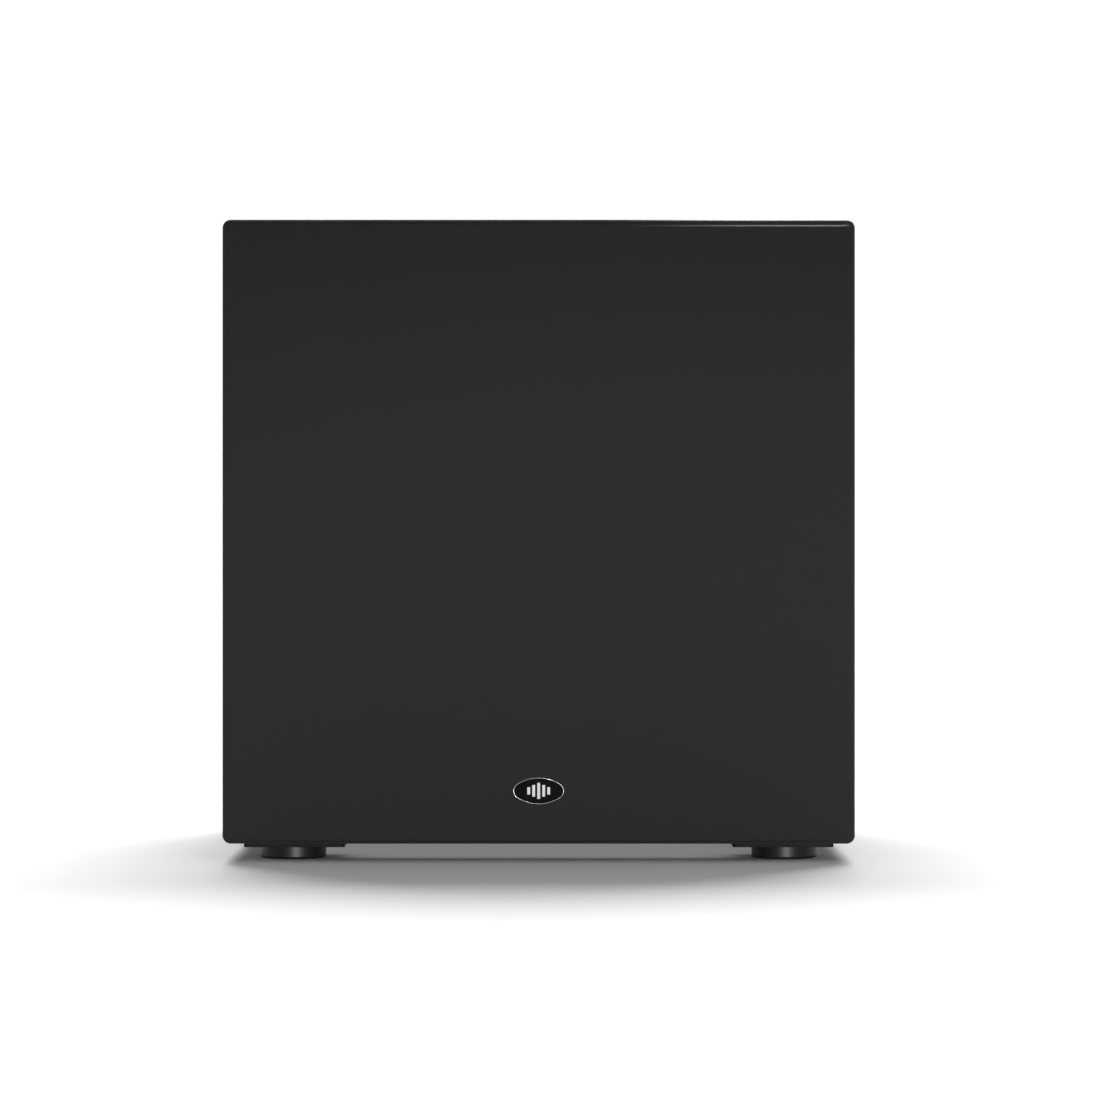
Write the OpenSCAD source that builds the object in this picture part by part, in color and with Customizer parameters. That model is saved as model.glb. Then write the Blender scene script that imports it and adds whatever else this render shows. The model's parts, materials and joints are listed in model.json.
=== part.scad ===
// Powered bass loudspeaker: one 12 inch woofer behind a full-size cloth grille, a rear bass port and a
// rear plate amplifier. Millimetres, +Z up, front faces -Y, origin on the floor under the middle.

/* [Cabinet] */
// Width of the cabinet and of the grille
body_w = 380; // [374:1:400]
// Height of the cabinet without its feet
body_h = 375; // [372:1:400]
// Depth of the cabinet from the baffle face to the rear face
body_d = 370; // [360:1:400]
// Thickness of the side, top, bottom and rear boards
board_t = 18; // [16:1:20]
// Thickness of the front baffle
baffle_t = 25; // [24:1:28]
// Radius of the long outside corners
corner_r = 5; // [3:0.5:6]

/* [Grille] */
// Depth of the grille, cloth included
grille_d = 17; // [16:0.5:20]
// Gap between the grille and the baffle
grille_gap = 1; // [0.5:0.5:2]
// Thickness of the grille cloth
cloth_t = 0.8; // [0.6:0.1:1]
// Radius of the round window in the grille board
window_r = 145.5; // [140:0.5:146]
// Width of the oval badge
badge_w = 30.5; // [28:0.5:32]
// Height of the oval badge
badge_h = 16.1; // [14:0.1:17]
// Height of the badge centre above the cabinet's bottom edge
badge_up = 32; // [30:1:32]

/* [Woofer] */
// Outside radius of the woofer frame
frame_r = 151.5; // [151:0.5:152]
// Radius of the circle of woofer screws
screw_pcd_r = 145; // [145:0.1:145.4]
// Outside radius of the cone
cone_r = 109; // [106:0.5:109]
// Outside radius of the magnet ring
magnet_r = 65; // [60:1:70]

/* [Port] */
// Inside radius of the port tube
port_r = 35; // [32:0.5:36]
// Length of the port from the rear face to its inner end
port_len = 170; // [165:1:175]
// Height of the port's axis above the middle of the cabinet
port_up = 112; // [110:0.5:112]

/* [Amplifier] */
// Width of the amplifier plate
plate_w = 250; // [248:1:260]
// Height of the amplifier plate
plate_h = 205; // [203:1:206]
// Height of the plate's lower edge above the cabinet's bottom edge
plate_up = 22; // [20:0.5:22]
// How far the knob faces stand behind the rear face
rear_out = 17.6; // [17.6:0.1:19]

/* [Feet] */
// Radius of a rubber foot
foot_r = 20; // [17:0.5:22]
// Height of a rubber foot
foot_h = 8; // [7.5:0.5:10]
// Side of the square plate over each foot
foot_plate_w = 61; // [54:1:64]
// Thickness of the foot plate
foot_plate_t = 3.5; // [2.5:0.5:4]
// Distance of a foot's centre from the cabinet's sides, front and rear
foot_inset = 40; // [36:1:42]
// How far each foot plate sits inwards of its foot's centre
foot_plate_shift = 1.8; // [0:0.1:3]

/* [Hidden] */
$fn = 64;

// Heights and depths that everything is placed by
badge_out = 1.6;
base_z = foot_h + foot_plate_t;
mid_z = base_z + body_h / 2;
front_y = badge_out - (badge_out + grille_d + grille_gap + body_d + rear_out) / 2;
baffle_y = front_y + grille_d + grille_gap;
rear_y = baffle_y + body_d;
inner_w = body_w - 2 * board_t;
inner_h = body_h - 2 * board_t;
port_z = mid_z + port_up;
plate_z = base_z + plate_up + plate_h / 2;
over = 0.5;
// How far a shank or a core reaches into the solid that it belongs to
joined = 0.1;

// Grille edges, badge and fixings
front_edge_r = 4;
back_edge_r = 2;
fold_w = 14;
badge_rim_w = 0.6;
badge_recess = 0.4;
badge_pin_x = 8;
badge_pin_r = 1;
badge_pin_l = 7;
peg_x = body_w / 2 - 34;
peg_z = body_h / 2 - 35.5;
peg_r = 3;
peg_root_r = 2.5;
peg_l = 10;
cup_r = 6;
cup_collar_r = 8;
cup_collar_t = 1.5;
cup_depth = 13;

// Woofer sizes, measured from the baffle face
rebate_r = 153;
rebate_d = 6;
cutout_r = 139.5;
flange_t = 2.6;
seat_z = -3.4;
insert_r = 3.3;
gap_r = 28;
former_r = 26;
cone_neck_r = 27;
cone_lip_r = cone_r - 6;
cone_low_z = -52;
cone_rise = 48;
cone_steps = 20;
cap_step = 4;
roll_out_r = 131.6;
roll_t = 1.2;
spider_z = -72;
spider_t = 0.8;
plate_top_z = -90;
plate_back_z = -98;
magnet_back_z = -118;
yoke_back_z = -126;

// Foot sizes
foot_screw_r = 2.1;
foot_hole_r = 2.7;
foot_floor_t = 4;

// Port sizes
port_wall = 3;
flare_end_z = -22;
inner_end_z = 20 - port_len;
port_hole_r = 47;
port_lip_r = 12;
flare_screw_r = 52;
brace_back = 116;

// Amplifier sizes, measured from the outer face of its plate
gasket_t = 1;
plate_t = 3;
plate_y = rear_y + gasket_t + plate_t;
cover_w = 220;
cover_h = 175;
cover_z = -84;
cover_t = 1.5;
plate_screw_r = 1.6;
plate_hole_r = 2.1;
slot_h = 4.6;
phase_slot_w = 9;
mode_slot_w = 11;
bush_r = 3.6;
knob_r = 9.6;
flutes = 24;
rocker_w = 15;
rocker_h = 26.4;
iec_w = 27;
iec_h = 47;
pin_w = 2;
pin_h = 4;
knob_v = 62;
level_u = -80;
crossover_u = -30;
knob_top = rear_out - gasket_t - plate_t;
shaft_r = 3;
phase_u = 20;
mode_u = 62;
led_u = 98;
rca_v = 5;
rca_us = [-90, -65, -40];
rca_r = 4.15;
rocker_u = -80;
rocker_v = -60;
pivot_z = -2;
iec_u = 60;
iec_v = -55;
socket_v = iec_v + 9;
drawer_v = iec_v - 15;
board_z = -60;
wire_u = -32;
wire_v = -31;

// Places the children in a frame that faces forward: x right, y up, z towards the listener
module facing_front(y, z) { translate([0, y, z]) rotate([90, 0, 0]) children(); }

// Places the children in a frame that faces back: x to the right seen from behind, y up, z outwards
module facing_rear(y, z) { translate([0, y, z]) rotate([90, 0, 180]) children(); }

module at_woofer() { facing_front(baffle_y, mid_z) children(); }
module at_port() { facing_rear(rear_y, port_z) children(); }
module at_plate() { facing_rear(plate_y, plate_z) children(); }

module ring_of(count, radius, start = 0) {
  for (i = [0:count - 1]) rotate([0, 0, start + i * 360 / count]) translate([radius, 0, 0]) children();
}

module disc(r, z0, z1) { translate([0, 0, z0]) cylinder(r = r, h = z1 - z0); }

module block(w, h, z0, z1) { translate([-w / 2, -h / 2, z0]) cube([w, h, z1 - z0]); }

module tube(outer, inner, z0, z1) {
  difference() {
    disc(outer, z0, z1);
    disc(inner, z0 - over, z1 + over);
  }
}

// A round wire swept along a list of points
module wire(points, r, sides = 8) {
  n = len(points);
  function unit(v) = v / norm(v);
  function leg(i) = i < 0 || i > n - 2 ? [0, 0, 0] : unit(points[i + 1] - points[i]);
  corners = [for (i = [0:n - 1])
    let (along = unit(leg(i - 1) + leg(i)), a = unit(cross(along, [0.3, 0.1, 1])), b = cross(along, a))
    for (k = [0:sides - 1]) points[i] + r * (cos(360 * k / sides) * a + sin(360 * k / sides) * b)];
  walls = [for (i = [0:n - 2], k = [0:sides - 1])
    let (m = (k + 1) % sides) [i * sides + k, (i + 1) * sides + k, (i + 1) * sides + m, i * sides + m]];
  start_cap = [for (k = [0:sides - 1]) k];
  end_cap = [for (k = [sides - 1:-1:0]) (n - 1) * sides + k];
  polyhedron(points = corners, faces = concat(walls, [start_cap, end_cap]));
}

module rounded_rect(w, h, r) {
  square([w - 2 * r, h], center = true);
  square([w, h - 2 * r], center = true);
  for (x = [-1, 1], y = [-1, 1]) translate([x * (w / 2 - r), y * (h / 2 - r)]) circle(r = r);
}

module rounded_plate(w, h, r, z0, z1) {
  translate([0, 0, z0]) linear_extrude(z1 - z0) rounded_rect(w, h, r);
}

// Outline of a block seen across its depth: corners rounded by rf at y0 and by rb at y1
module depth_outline(w, y0, y1, rf, rb) {
  translate([-w / 2, y0 + rf]) square([w, y1 - rb - y0 - rf]);
  translate([rf - w / 2, y0]) square([w - 2 * rf, y1 - y0 - rb]);
  translate([rb - w / 2, y0 + rf]) square([w - 2 * rb, y1 - y0 - rf]);
  for (s = [-1, 1]) {
    translate([s * (w / 2 - rf), y0 + rf]) circle(r = rf);
    translate([s * (w / 2 - rb), y1 - rb]) circle(r = rb);
  }
}

// A block from y0 to y1 with rounded long corners and rounded front and rear edges
module rounded_block(w, h, y0, y1, r, rf, rb) {
  intersection() {
    facing_front(y1, mid_z) linear_extrude(y1 - y0) rounded_rect(w, h, r);
    translate([0, 0, mid_z - h]) linear_extrude(2 * h) depth_outline(w, y0, y1, rf, rb);
    translate([-w, 0, mid_z]) rotate([0, 90, 0]) linear_extrude(2 * w) depth_outline(h, y0, y1, rf, rb);
  }
}

// One of the four mitred boards: turn 0 is the top, 180 the bottom
module mitred_board(turn, across, along) {
  intersection() {
    rounded_block(body_w, body_h, baffle_y, rear_y, corner_r, 2, 2);
    facing_front(rear_y + 1, mid_z) rotate([0, 0, turn]) linear_extrude(body_d + 2) polygon([
      [-across / 2 - 1, along / 2 + 1], [across / 2 + 1, along / 2 + 1],
      [across / 2 - board_t, along / 2 - board_t], [board_t - across / 2, along / 2 - board_t]
    ]);
  }
}

module at_feet(inwards = 0) {
  for (x = [-1, 1], y = [baffle_y + foot_inset, rear_y - foot_inset])
    translate([x * (body_w / 2 - foot_inset - inwards), y, 0]) children();
}

module at_pegs() {
  for (x = [-1, 1], z = [-1, 1]) facing_front(baffle_y, mid_z + z * peg_z) translate([x * peg_x, 0, 0])
    children();
}

module at_badge() { facing_front(front_y, base_z + badge_up) children(); }

module at_badge_pins() {
  at_badge() for (x = [-badge_pin_x, badge_pin_x]) translate([x, 0, 0]) children();
}

module at_plate_screws() {
  x = plate_w / 2 - 6;
  y = plate_h / 2 - 6;
  for (p = [[-x, -y], [0, -y], [x, -y], [-x, -y / 3], [x, -y / 3], [-x, y / 3], [x, y / 3], [-x, y],
    [0, y], [x, y]]) translate([p[0], p[1], 0]) children();
}

// ---- Cabinet ----

module top_board() { color([0.09, 0.09, 0.09]) mitred_board(0, body_w, body_h); }

module bottom_board() {
  color([0.09, 0.09, 0.09]) difference() {
    mitred_board(180, body_w, body_h);
    at_feet() disc(foot_screw_r, base_z - over, base_z + 14);
  }
}

module left_board() { color([0.09, 0.09, 0.09]) mitred_board(90, body_h, body_w); }

module right_board() { color([0.09, 0.09, 0.09]) mitred_board(-90, body_h, body_w); }

module front_baffle() {
  color([0.07, 0.07, 0.07]) difference() {
    at_woofer() block(inner_w, inner_h, -baffle_t, 0);
    at_woofer() disc(rebate_r, -rebate_d, over);
    at_woofer() disc(cutout_r, -baffle_t - over, over);
    at_woofer() ring_of(8, screw_pcd_r, 22.5) disc(insert_r, -baffle_t - over, over);
    at_pegs() disc(cup_r, -cup_depth, over);
    at_pegs() disc(cup_collar_r, -cup_collar_t, over);
  }
}

module rear_board() {
  color([0.09, 0.09, 0.09]) difference() {
    facing_rear(rear_y, mid_z) block(inner_w, inner_h, -board_t, 0);
    at_port() disc(port_hole_r, -board_t - over, over);
    at_port() ring_of(4, flare_screw_r, 45) disc(1.7, -14, over);
    at_plate() block(cover_w + 6, cover_h + 6, -board_t - 5, 0);
    at_plate() at_plate_screws() disc(plate_screw_r, -18, 0);
  }
}

// An upright board across the cabinet, cut away to a frame that also carries the port tube
module window_brace() {
  y0 = rear_y - brace_back;
  color([0.55, 0.42, 0.3]) difference() {
    facing_front(y0 + board_t, mid_z) block(inner_w, inner_h, 0, board_t);
    facing_front(y0 - over, port_z) disc(port_r + port_wall + 0.3, -board_t - 1, 0);
    for (s = [-1, 1]) {
      facing_front(y0 - over, mid_z - 84) translate([s * 85, 0, 0])
        rounded_plate(130, 130, 8, -board_t - 1, 0);
      facing_front(y0 - over, mid_z + 73.5) translate([s * 102.5, 0, 0])
        rounded_plate(95, 145, 8, -board_t - 1, 0);
    }
  }
}

// Loose mats on both sides and, ahead of the port, under the top
module wadding_mats() {
  y0 = baffle_y + 34;
  side_l = 194;
  side_t = 24;
  top_t = 17;
  color([0.85, 0.85, 0.83]) {
    for (s = [-1, 1]) translate([s * (inner_w - side_t) / 2, y0 + side_l / 2, mid_z - 9])
      cube([side_t, side_l, 300], center = true);
    translate([-140, y0, mid_z + inner_h / 2 - top_t]) cube([280, rear_y - port_len - 6 - y0, top_t]);
  }
}

// ---- Grille ----

grille_back_y = baffle_y - grille_gap;
board_front_y = front_y + cloth_t;
board_back_y = grille_back_y - cloth_t;

module grille_frame() {
  c = cloth_t;
  color([0.05, 0.05, 0.05]) difference() {
    rounded_block(body_w - 2 * c, body_h - 2 * c, board_front_y, board_back_y, corner_r - c,
      front_edge_r - c, back_edge_r - c);
    at_woofer() disc(window_r, 0, grille_d + 2);
    at_pegs() disc(peg_root_r, 0, grille_gap + cloth_t + peg_l);
    at_badge_pins() disc(badge_pin_r, -badge_pin_l, 0);
  }
}

// Cloth stretched over the frame board and folded onto its back
module grille_cloth() {
  c = cloth_t;
  color([0.12, 0.12, 0.12]) difference() {
    rounded_block(body_w, body_h, front_y, grille_back_y, corner_r, front_edge_r, back_edge_r);
    rounded_block(body_w - 2 * c, body_h - 2 * c, board_front_y, board_back_y, corner_r - c,
      front_edge_r - c, back_edge_r - c);
    facing_front(grille_back_y + over, mid_z) block(body_w - 2 * fold_w, body_h - 2 * fold_w, 0,
      cloth_t + 2 * over);
    at_badge_pins() disc(badge_pin_r, -2, 2);
  }
}

module grille_pegs() {
  flange_z = grille_gap + cloth_t;
  color([0.08, 0.08, 0.08]) at_pegs() {
    disc(7, 0.3, flange_z);
    disc(peg_r, -peg_l + 0.8, 0.3 + over);
    disc(peg_r - 0.6, -peg_l, -peg_l + 0.8);
    disc(peg_root_r, flange_z - over, flange_z + peg_l);
  }
}

module peg_cups() {
  color([0.13, 0.13, 0.13]) at_pegs() difference() {
    union() {
      disc(cup_r, -cup_depth, 0);
      disc(cup_collar_r, -cup_collar_t, 0);
    }
    disc(peg_r + 0.08, -cup_depth + 1.5, over);
  }
}

// A flat oval of four arcs; inset moves the whole outline inwards
module oval(inset) {
  end_r = 5;
  a = badge_w / 2;
  b = badge_h / 2;
  side_r = (pow(a - end_r, 2) + b * b - end_r * end_r) / (2 * (b - end_r));
  join_x = (a - end_r) * (side_r - inset) / (side_r - end_r);
  intersection() {
    translate([0, b - side_r]) circle(r = side_r - inset);
    translate([0, side_r - b]) circle(r = side_r - inset);
    square([2 * join_x, 2 * b], center = true);
  }
  for (s = [-1, 1]) translate([s * (a - end_r), 0]) circle(r = end_r - inset);
}

module badge_bezel() {
  color([0.75, 0.76, 0.78]) at_badge() linear_extrude(badge_out) difference() {
    oval(0);
    oval(badge_rim_w);
  }
}

module badge_plate() {
  color([0.04, 0.04, 0.04]) {
    at_badge() linear_extrude(badge_out - badge_recess) oval(badge_rim_w);
    at_badge_pins() disc(badge_pin_r, -badge_pin_l, over);
  }
}

// ---- Woofer ----

module woofer_basket() {
  color([0.1, 0.1, 0.1]) at_woofer() difference() {
    rotate_extrude() polygon([
      [frame_r, seat_z - flange_t], [136, seat_z - flange_t], [133, -14], [86, -68], [86, -74],
      [62, plate_top_z], [30, plate_top_z], [30, plate_top_z + 3], [59, plate_top_z + 3], [66, -76],
      [66, spider_z], [82, spider_z], [82, -69], [129, -14], [129, seat_z], [frame_r, seat_z]
    ]);
    for (a = [30:60:330]) rotate([0, 0, a]) translate([0, 0, -62]) linear_extrude(42)
      polygon([[0, 0], [140, -51], [140, 51]]);
    ring_of(8, screw_pcd_r, 22.5) disc(2.7, -9, 0);
    translate([-12, -95, -74]) cube([24, 10, 14]);
  }
}

module woofer_trim_ring() {
  color([0.12, 0.12, 0.12]) at_woofer() difference() {
    tube(frame_r, 136.5, seat_z, 0);
    ring_of(8, screw_pcd_r, 22.5) disc(5.2, seat_z - over, over);
  }
}

module surround() {
  in_r = cone_r - 0.6;
  mid_r = (in_r + roll_out_r) / 2;
  roll_r = (roll_out_r - in_r) / 2;
  lip_z = seat_z + roll_t / 2;
  color([0.06, 0.06, 0.06]) at_woofer() rotate_extrude() {
    translate([cone_lip_r, seat_z]) square([mid_r - roll_r + roll_t - cone_lip_r, roll_t]);
    translate([roll_out_r - roll_t, seat_z]) square([136.3 - roll_out_r + roll_t, roll_t]);
    intersection() {
      translate([mid_r, lip_z]) difference() {
        circle(r = roll_r);
        circle(r = roll_r - roll_t);
      }
      translate([mid_r - roll_r - 1, lip_z]) square([2 * roll_r + 2, roll_r + 1]);
    }
  }
}

function cone_x(i) = cone_neck_r + (cone_lip_r - cone_neck_r) * i / cone_steps;
function cone_z(i) = cone_low_z + cone_rise * pow(i / cone_steps, 0.85);

module cone() {
  t = 1.2;
  color([0.08, 0.08, 0.08]) at_woofer() {
    rotate_extrude() polygon(concat(
      [[former_r, cone_low_z - 4], [former_r, cone_low_z + 2], [cone_neck_r - 0.4, cone_low_z + 2]],
      [for (i = [0:cone_steps]) [cone_x(i), cone_z(i)]],
      [[cone_lip_r, seat_z], [cone_r, seat_z], [cone_r, seat_z - 1]],
      [for (i = [cone_steps:-1:0]) [cone_x(i) + 0.3, cone_z(i) - t]],
      [[cone_neck_r + 0.2, cone_low_z - 4]]
    ));
  }
}

// A shallow dome glued to the cone over the coil
module dust_cap() {
  base_r = cone_x(cap_step);
  base_z0 = cone_z(cap_step);
  rise = 14;
  dome_r = (base_r * base_r + rise * rise) / (2 * rise);
  color([0.05, 0.05, 0.05]) at_woofer() intersection() {
    translate([0, 0, base_z0 + rise - dome_r]) difference() {
      sphere(r = dome_r);
      sphere(r = dome_r - 1);
    }
    disc(base_r + 1, base_z0, base_z0 + rise + 1);
  }
}

module coil_former() { color([0.78, 0.6, 0.35]) at_woofer() tube(former_r, former_r - 0.7, -107, -50); }

module voice_coil() { color([0.72, 0.42, 0.2]) at_woofer() tube(former_r + 1.3, former_r, -106, -82); }

module spider() {
  in_r = former_r + 0.3;
  wave_r = 66;
  steps = 72;
  waves = 5;
  color([0.75, 0.55, 0.2]) at_woofer() rotate_extrude() polygon(concat(
    [for (i = [0:steps]) [in_r + (wave_r - in_r) * i / steps,
      spider_z + 1.6 - 1.6 * cos(360 * waves * i / steps)]],
    [[80, spider_z], [80, spider_z + spider_t]],
    [for (i = [steps:-1:0]) [in_r + (wave_r - in_r) * i / steps,
      spider_z + spider_t + 1.6 - 1.6 * cos(360 * waves * i / steps)]]
  ));
}

module top_plate() { color([0.6, 0.6, 0.62]) at_woofer() tube(55, gap_r, plate_back_z, plate_top_z); }

module magnet_ring() {
  color([0.15, 0.15, 0.16]) at_woofer() tube(magnet_r, 32, magnet_back_z, plate_back_z);
}

module pole_yoke() {
  color([0.6, 0.6, 0.62]) at_woofer() difference() {
    union() {
      disc(55, yoke_back_z, magnet_back_z);
      disc(24.4, magnet_back_z - over, plate_top_z + 1);
    }
    disc(8, yoke_back_z - over, plate_top_z + 2);
  }
}

// A small fibre strip with two brass blades that pass through it
module woofer_terminals() {
  color([0.75, 0.6, 0.3]) at_woofer() {
    translate([-12, -87, -74]) cube([24, 2, 18]);
    for (x = [-7, 7]) translate([x - 2.4, -93, -60.4]) cube([4.8, 9, 0.8]);
  }
}

// Two loose braids from the blades to the back of the cone, with slack for the cone's travel
module tinsel_leads() {
  color([0.7, 0.5, 0.3]) at_woofer() for (x = [-7, 7])
    wire([for (t = [0:0.125:1]) [x, -84.6 + 24 * t, -59 + 28.2 * pow(t, 1.7)]], 0.9);
}

module woofer_screws() {
  color([0.15, 0.15, 0.16]) at_woofer() ring_of(8, screw_pcd_r, 22.5) {
    difference() {
      disc(4.4, seat_z, -0.2);
      rotate([0, 0, 30]) disc(2, -2.2, over);
    }
    disc(2.5, -24, seat_z + joined);
  }
}

module threaded_inserts() {
  color([0.7, 0.7, 0.66]) at_woofer() ring_of(8, screw_pcd_r, 22.5) {
    tube(insert_r, 2.5, -baffle_t, -baffle_t + 12);
    tube(8, 2.5, -baffle_t - 1.2, -baffle_t);
  }
}

// ---- Port ----

module port_flare() {
  wall_r = port_r + port_wall;
  color([0.06, 0.06, 0.06]) at_port() difference() {
    rotate_extrude() difference() {
      polygon([
        [port_r, 3], [port_r, flare_end_z], [wall_r + 0.05, flare_end_z], [wall_r + 0.05, -40],
        [wall_r + 2.5, -40], [wall_r + 2.5, -12], [port_hole_r - 0.5, -2], [port_hole_r - 0.5, 0],
        [57, 0], [57, 2.2], [56.2, 3]
      ]);
      difference() {
        translate([port_r - 1, 3 - port_lip_r]) square(port_lip_r + 1);
        translate([port_r + port_lip_r, 3 - port_lip_r]) circle(r = port_lip_r);
      }
    }
    ring_of(4, flare_screw_r, 45) disc(2.2, -over, 4);
  }
}

module port_tube() {
  color([0.12, 0.12, 0.12]) at_port() tube(port_r + port_wall, port_r, inner_end_z, flare_end_z);
}

module port_inner_flare() {
  wall_r = port_r + port_wall;
  throat_z = inner_end_z - 8;
  end_z = -port_len;
  color([0.06, 0.06, 0.06]) at_port() rotate_extrude() difference() {
    polygon([
      [port_r, inner_end_z], [wall_r + 0.05, inner_end_z], [wall_r + 0.05, inner_end_z + 18],
      [wall_r + 2.5, inner_end_z + 18], [wall_r + 2.5, inner_end_z - 4], [port_r + 14, end_z + 1],
      [port_r + 14, end_z], [port_r, end_z]
    ]);
    difference() {
      translate([port_r - 1, end_z - 1]) square([port_lip_r + 1, throat_z - end_z + 1]);
      translate([port_r + port_lip_r, throat_z]) circle(r = port_lip_r);
    }
  }
}

module port_screws() {
  color([0.16, 0.16, 0.17]) at_port() ring_of(4, flare_screw_r, 45) {
    difference() {
      disc(3.7, 3, 5.2);
      block(4.2, 0.9, 4, 6);
      block(0.9, 4.2, 4, 6);
    }
    disc(1.7, -13, 3 + joined);
  }
}

// ---- Feet ----

module rubber_feet() {
  edge_r = 1.6;
  color([0.04, 0.04, 0.04]) at_feet() difference() {
    rotate_extrude() {
      translate([0, edge_r]) square([foot_r, foot_h - edge_r]);
      square([foot_r - edge_r, foot_h]);
      translate([foot_r - edge_r, edge_r]) circle(r = edge_r);
    }
    disc(6, -over, foot_h - foot_floor_t);
    disc(foot_hole_r, -over, foot_h + over);
  }
}

module foot_plates() {
  w = foot_plate_w;
  color([0.08, 0.08, 0.08]) difference() {
    at_feet(foot_plate_shift) rounded_plate(w, w, 2, foot_h, base_z);
    at_feet() disc(foot_hole_r, foot_h - over, base_z + over);
  }
}

module foot_screws() {
  head_z = foot_h - foot_floor_t;
  color([0.3, 0.3, 0.31]) at_feet() {
    difference() {
      disc(4.5, head_z - 2.8, head_z);
      block(5.2, 1, head_z - 4, head_z - 1.6);
      block(1, 5.2, head_z - 4, head_z - 1.6);
    }
    disc(foot_screw_r, head_z - joined, base_z + 13);
  }
}

// ---- Amplifier ----

module amp_plate() {
  color([0.11, 0.11, 0.12]) at_plate() difference() {
    rounded_plate(plate_w, plate_h, 4, -plate_t, 0);
    for (u = [level_u, crossover_u]) translate([u, knob_v, 0]) disc(bush_r, -5, 1);
    translate([phase_u, knob_v, 0]) block(phase_slot_w, slot_h, -5, 1);
    translate([mode_u, knob_v, 0]) block(mode_slot_w, slot_h, -5, 1);
    translate([led_u, knob_v, 0]) disc(2.6, -5, 1);
    for (u = rca_us) translate([u, rca_v, 0]) disc(rca_r, -5, 1);
    translate([rocker_u, rocker_v, 0]) block(rocker_w, rocker_h, -5, 1);
    translate([iec_u, iec_v, 0]) block(iec_w, iec_h, -5, 1);
    at_plate_screws() disc(plate_hole_r, -5, 1);
  }
}

module amp_gasket() {
  color([0.1, 0.1, 0.1]) at_plate() difference() {
    rounded_plate(plate_w - 1, plate_h - 1, 3.5, -plate_t - gasket_t, -plate_t);
    block(cover_w + 4, cover_h + 4, -6, 0);
    at_plate_screws() disc(plate_hole_r, -6, 0);
  }
}

module amp_screws() {
  color([0.16, 0.16, 0.17]) at_plate() at_plate_screws() {
    difference() {
      disc(3.6, 0, 2.2);
      block(4, 0.9, 1, 3);
      block(0.9, 4, 1, 3);
    }
    disc(plate_screw_r, -17, joined);
  }
}

// A folded steel box behind the plate with one hole for the woofer's wires
module amp_cover() {
  w = cover_w - 2 * cover_t;
  h = cover_h - 2 * cover_t;
  color([0.62, 0.63, 0.65]) at_plate() difference() {
    block(cover_w, cover_h, cover_z, -plate_t);
    block(w, h, cover_z + cover_t, 0);
    translate([wire_u, wire_v, 0]) disc(5, cover_z - 1, cover_z + 3);
  }
}

module heatsink() {
  color([0.7, 0.71, 0.73]) at_plate() translate([-5, -63, 0]) {
    block(80, 46, -plate_t - 4, -plate_t);
    for (i = [0:7]) translate([-37 + i * 74 / 7, 0, 0]) block(2, 46, -plate_t - 22, -plate_t - 3);
  }
}

// A push-on knob and the shaft it turns
module turning_knob(u) {
  color([0.07, 0.07, 0.07]) at_plate() translate([u, knob_v, 0]) {
    difference() {
      union() {
        disc(11, 0.8, 3.4);
        disc(knob_r, 3.2, knob_top - 0.6);
        disc(knob_r - 0.6, knob_top - 0.8, knob_top);
        ring_of(flutes, knob_r) disc(0.55, 3.2, knob_top - 1);
      }
      disc(8, 0, 4);
      translate([-0.5, 5, knob_top - 0.5]) cube([1, 7, 1]);
    }
    disc(shaft_r, -9, 4 + over);
  }
}

module level_knob() { turning_knob(level_u); }

module crossover_knob() { turning_knob(crossover_u); }

module control_pots() {
  color([0.5, 0.5, 0.52]) at_plate() for (u = [level_u, crossover_u]) translate([u, knob_v, 0])
    difference() {
      union() {
        block(16, 18, -12, -plate_t);
        disc(bush_r, -plate_t - over, 2.6);
        linear_extrude(2) circle(r = 5.6, $fn = 6);
      }
      disc(shaft_r + 0.08, -9.5, 4);
    }
}

module slider(u) {
  color([0.8, 0.8, 0.8]) at_plate() translate([u, knob_v, 0]) {
    block(4, 4, -6, 2.6);
    for (x = [-1.2, 0, 1.2]) translate([x, 0, 0]) block(0.5, 4, 2.5, 3);
  }
}

module phase_slider() { slider(phase_u - 2); }

module mode_slider() { slider(mode_u); }

module slide_switches() {
  color([0.55, 0.55, 0.57]) at_plate() for (p = [[phase_u, phase_slot_w], [mode_u, mode_slot_w]])
    translate([p[0], knob_v, 0]) difference() {
      block(p[1] + 11, 9, -12, -plate_t);
      block(p[1], slot_h, -6.3, 0);
    }
}

module rca_shells() {
  color([0.78, 0.62, 0.28]) at_plate() for (u = rca_us) translate([u, rca_v, 0]) {
    tube(rca_r, 3, -5, 9);
    tube(5.6, rca_r - over, 0, 1.2);
    tube(6.2, rca_r - over, -5, -plate_t);
  }
}

module rca_insulators() {
  color([0.75, 0.1, 0.1]) at_plate() for (u = rca_us) translate([u, rca_v, 0]) difference() {
    disc(3, -10, 8.6);
    disc(1.6, 0, 10);
  }
}

module status_led() {
  color([0.2, 0.8, 0.3]) at_plate() translate([led_u, knob_v, 0]) {
    disc(2.5, -6, 0.2);
    intersection() {
      translate([0, 0, 0.2]) sphere(r = 2.5);
      disc(3, 0, 3);
    }
    disc(2.9, -7, -plate_t);
  }
}

// Drawn pressed in at its lower end, which is its off position
module power_rocker() {
  end_r = 11.7;
  tilt = 9;
  color([0.06, 0.06, 0.06]) at_plate() translate([rocker_u, rocker_v, pivot_z]) rotate([tilt, 0, 0]) {
    rotate([90, 0, 90]) translate([0, 0, -5.7]) linear_extrude(11.4) intersection() {
      circle(r = end_r);
      polygon([[-14, -4], [14, -4], [14, 6.9], [0, 4.4], [-14, 6.9]]);
    }
    rotate([0, 90, 0]) disc(1.2, -6.6, 6.6);
  }
}

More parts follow.
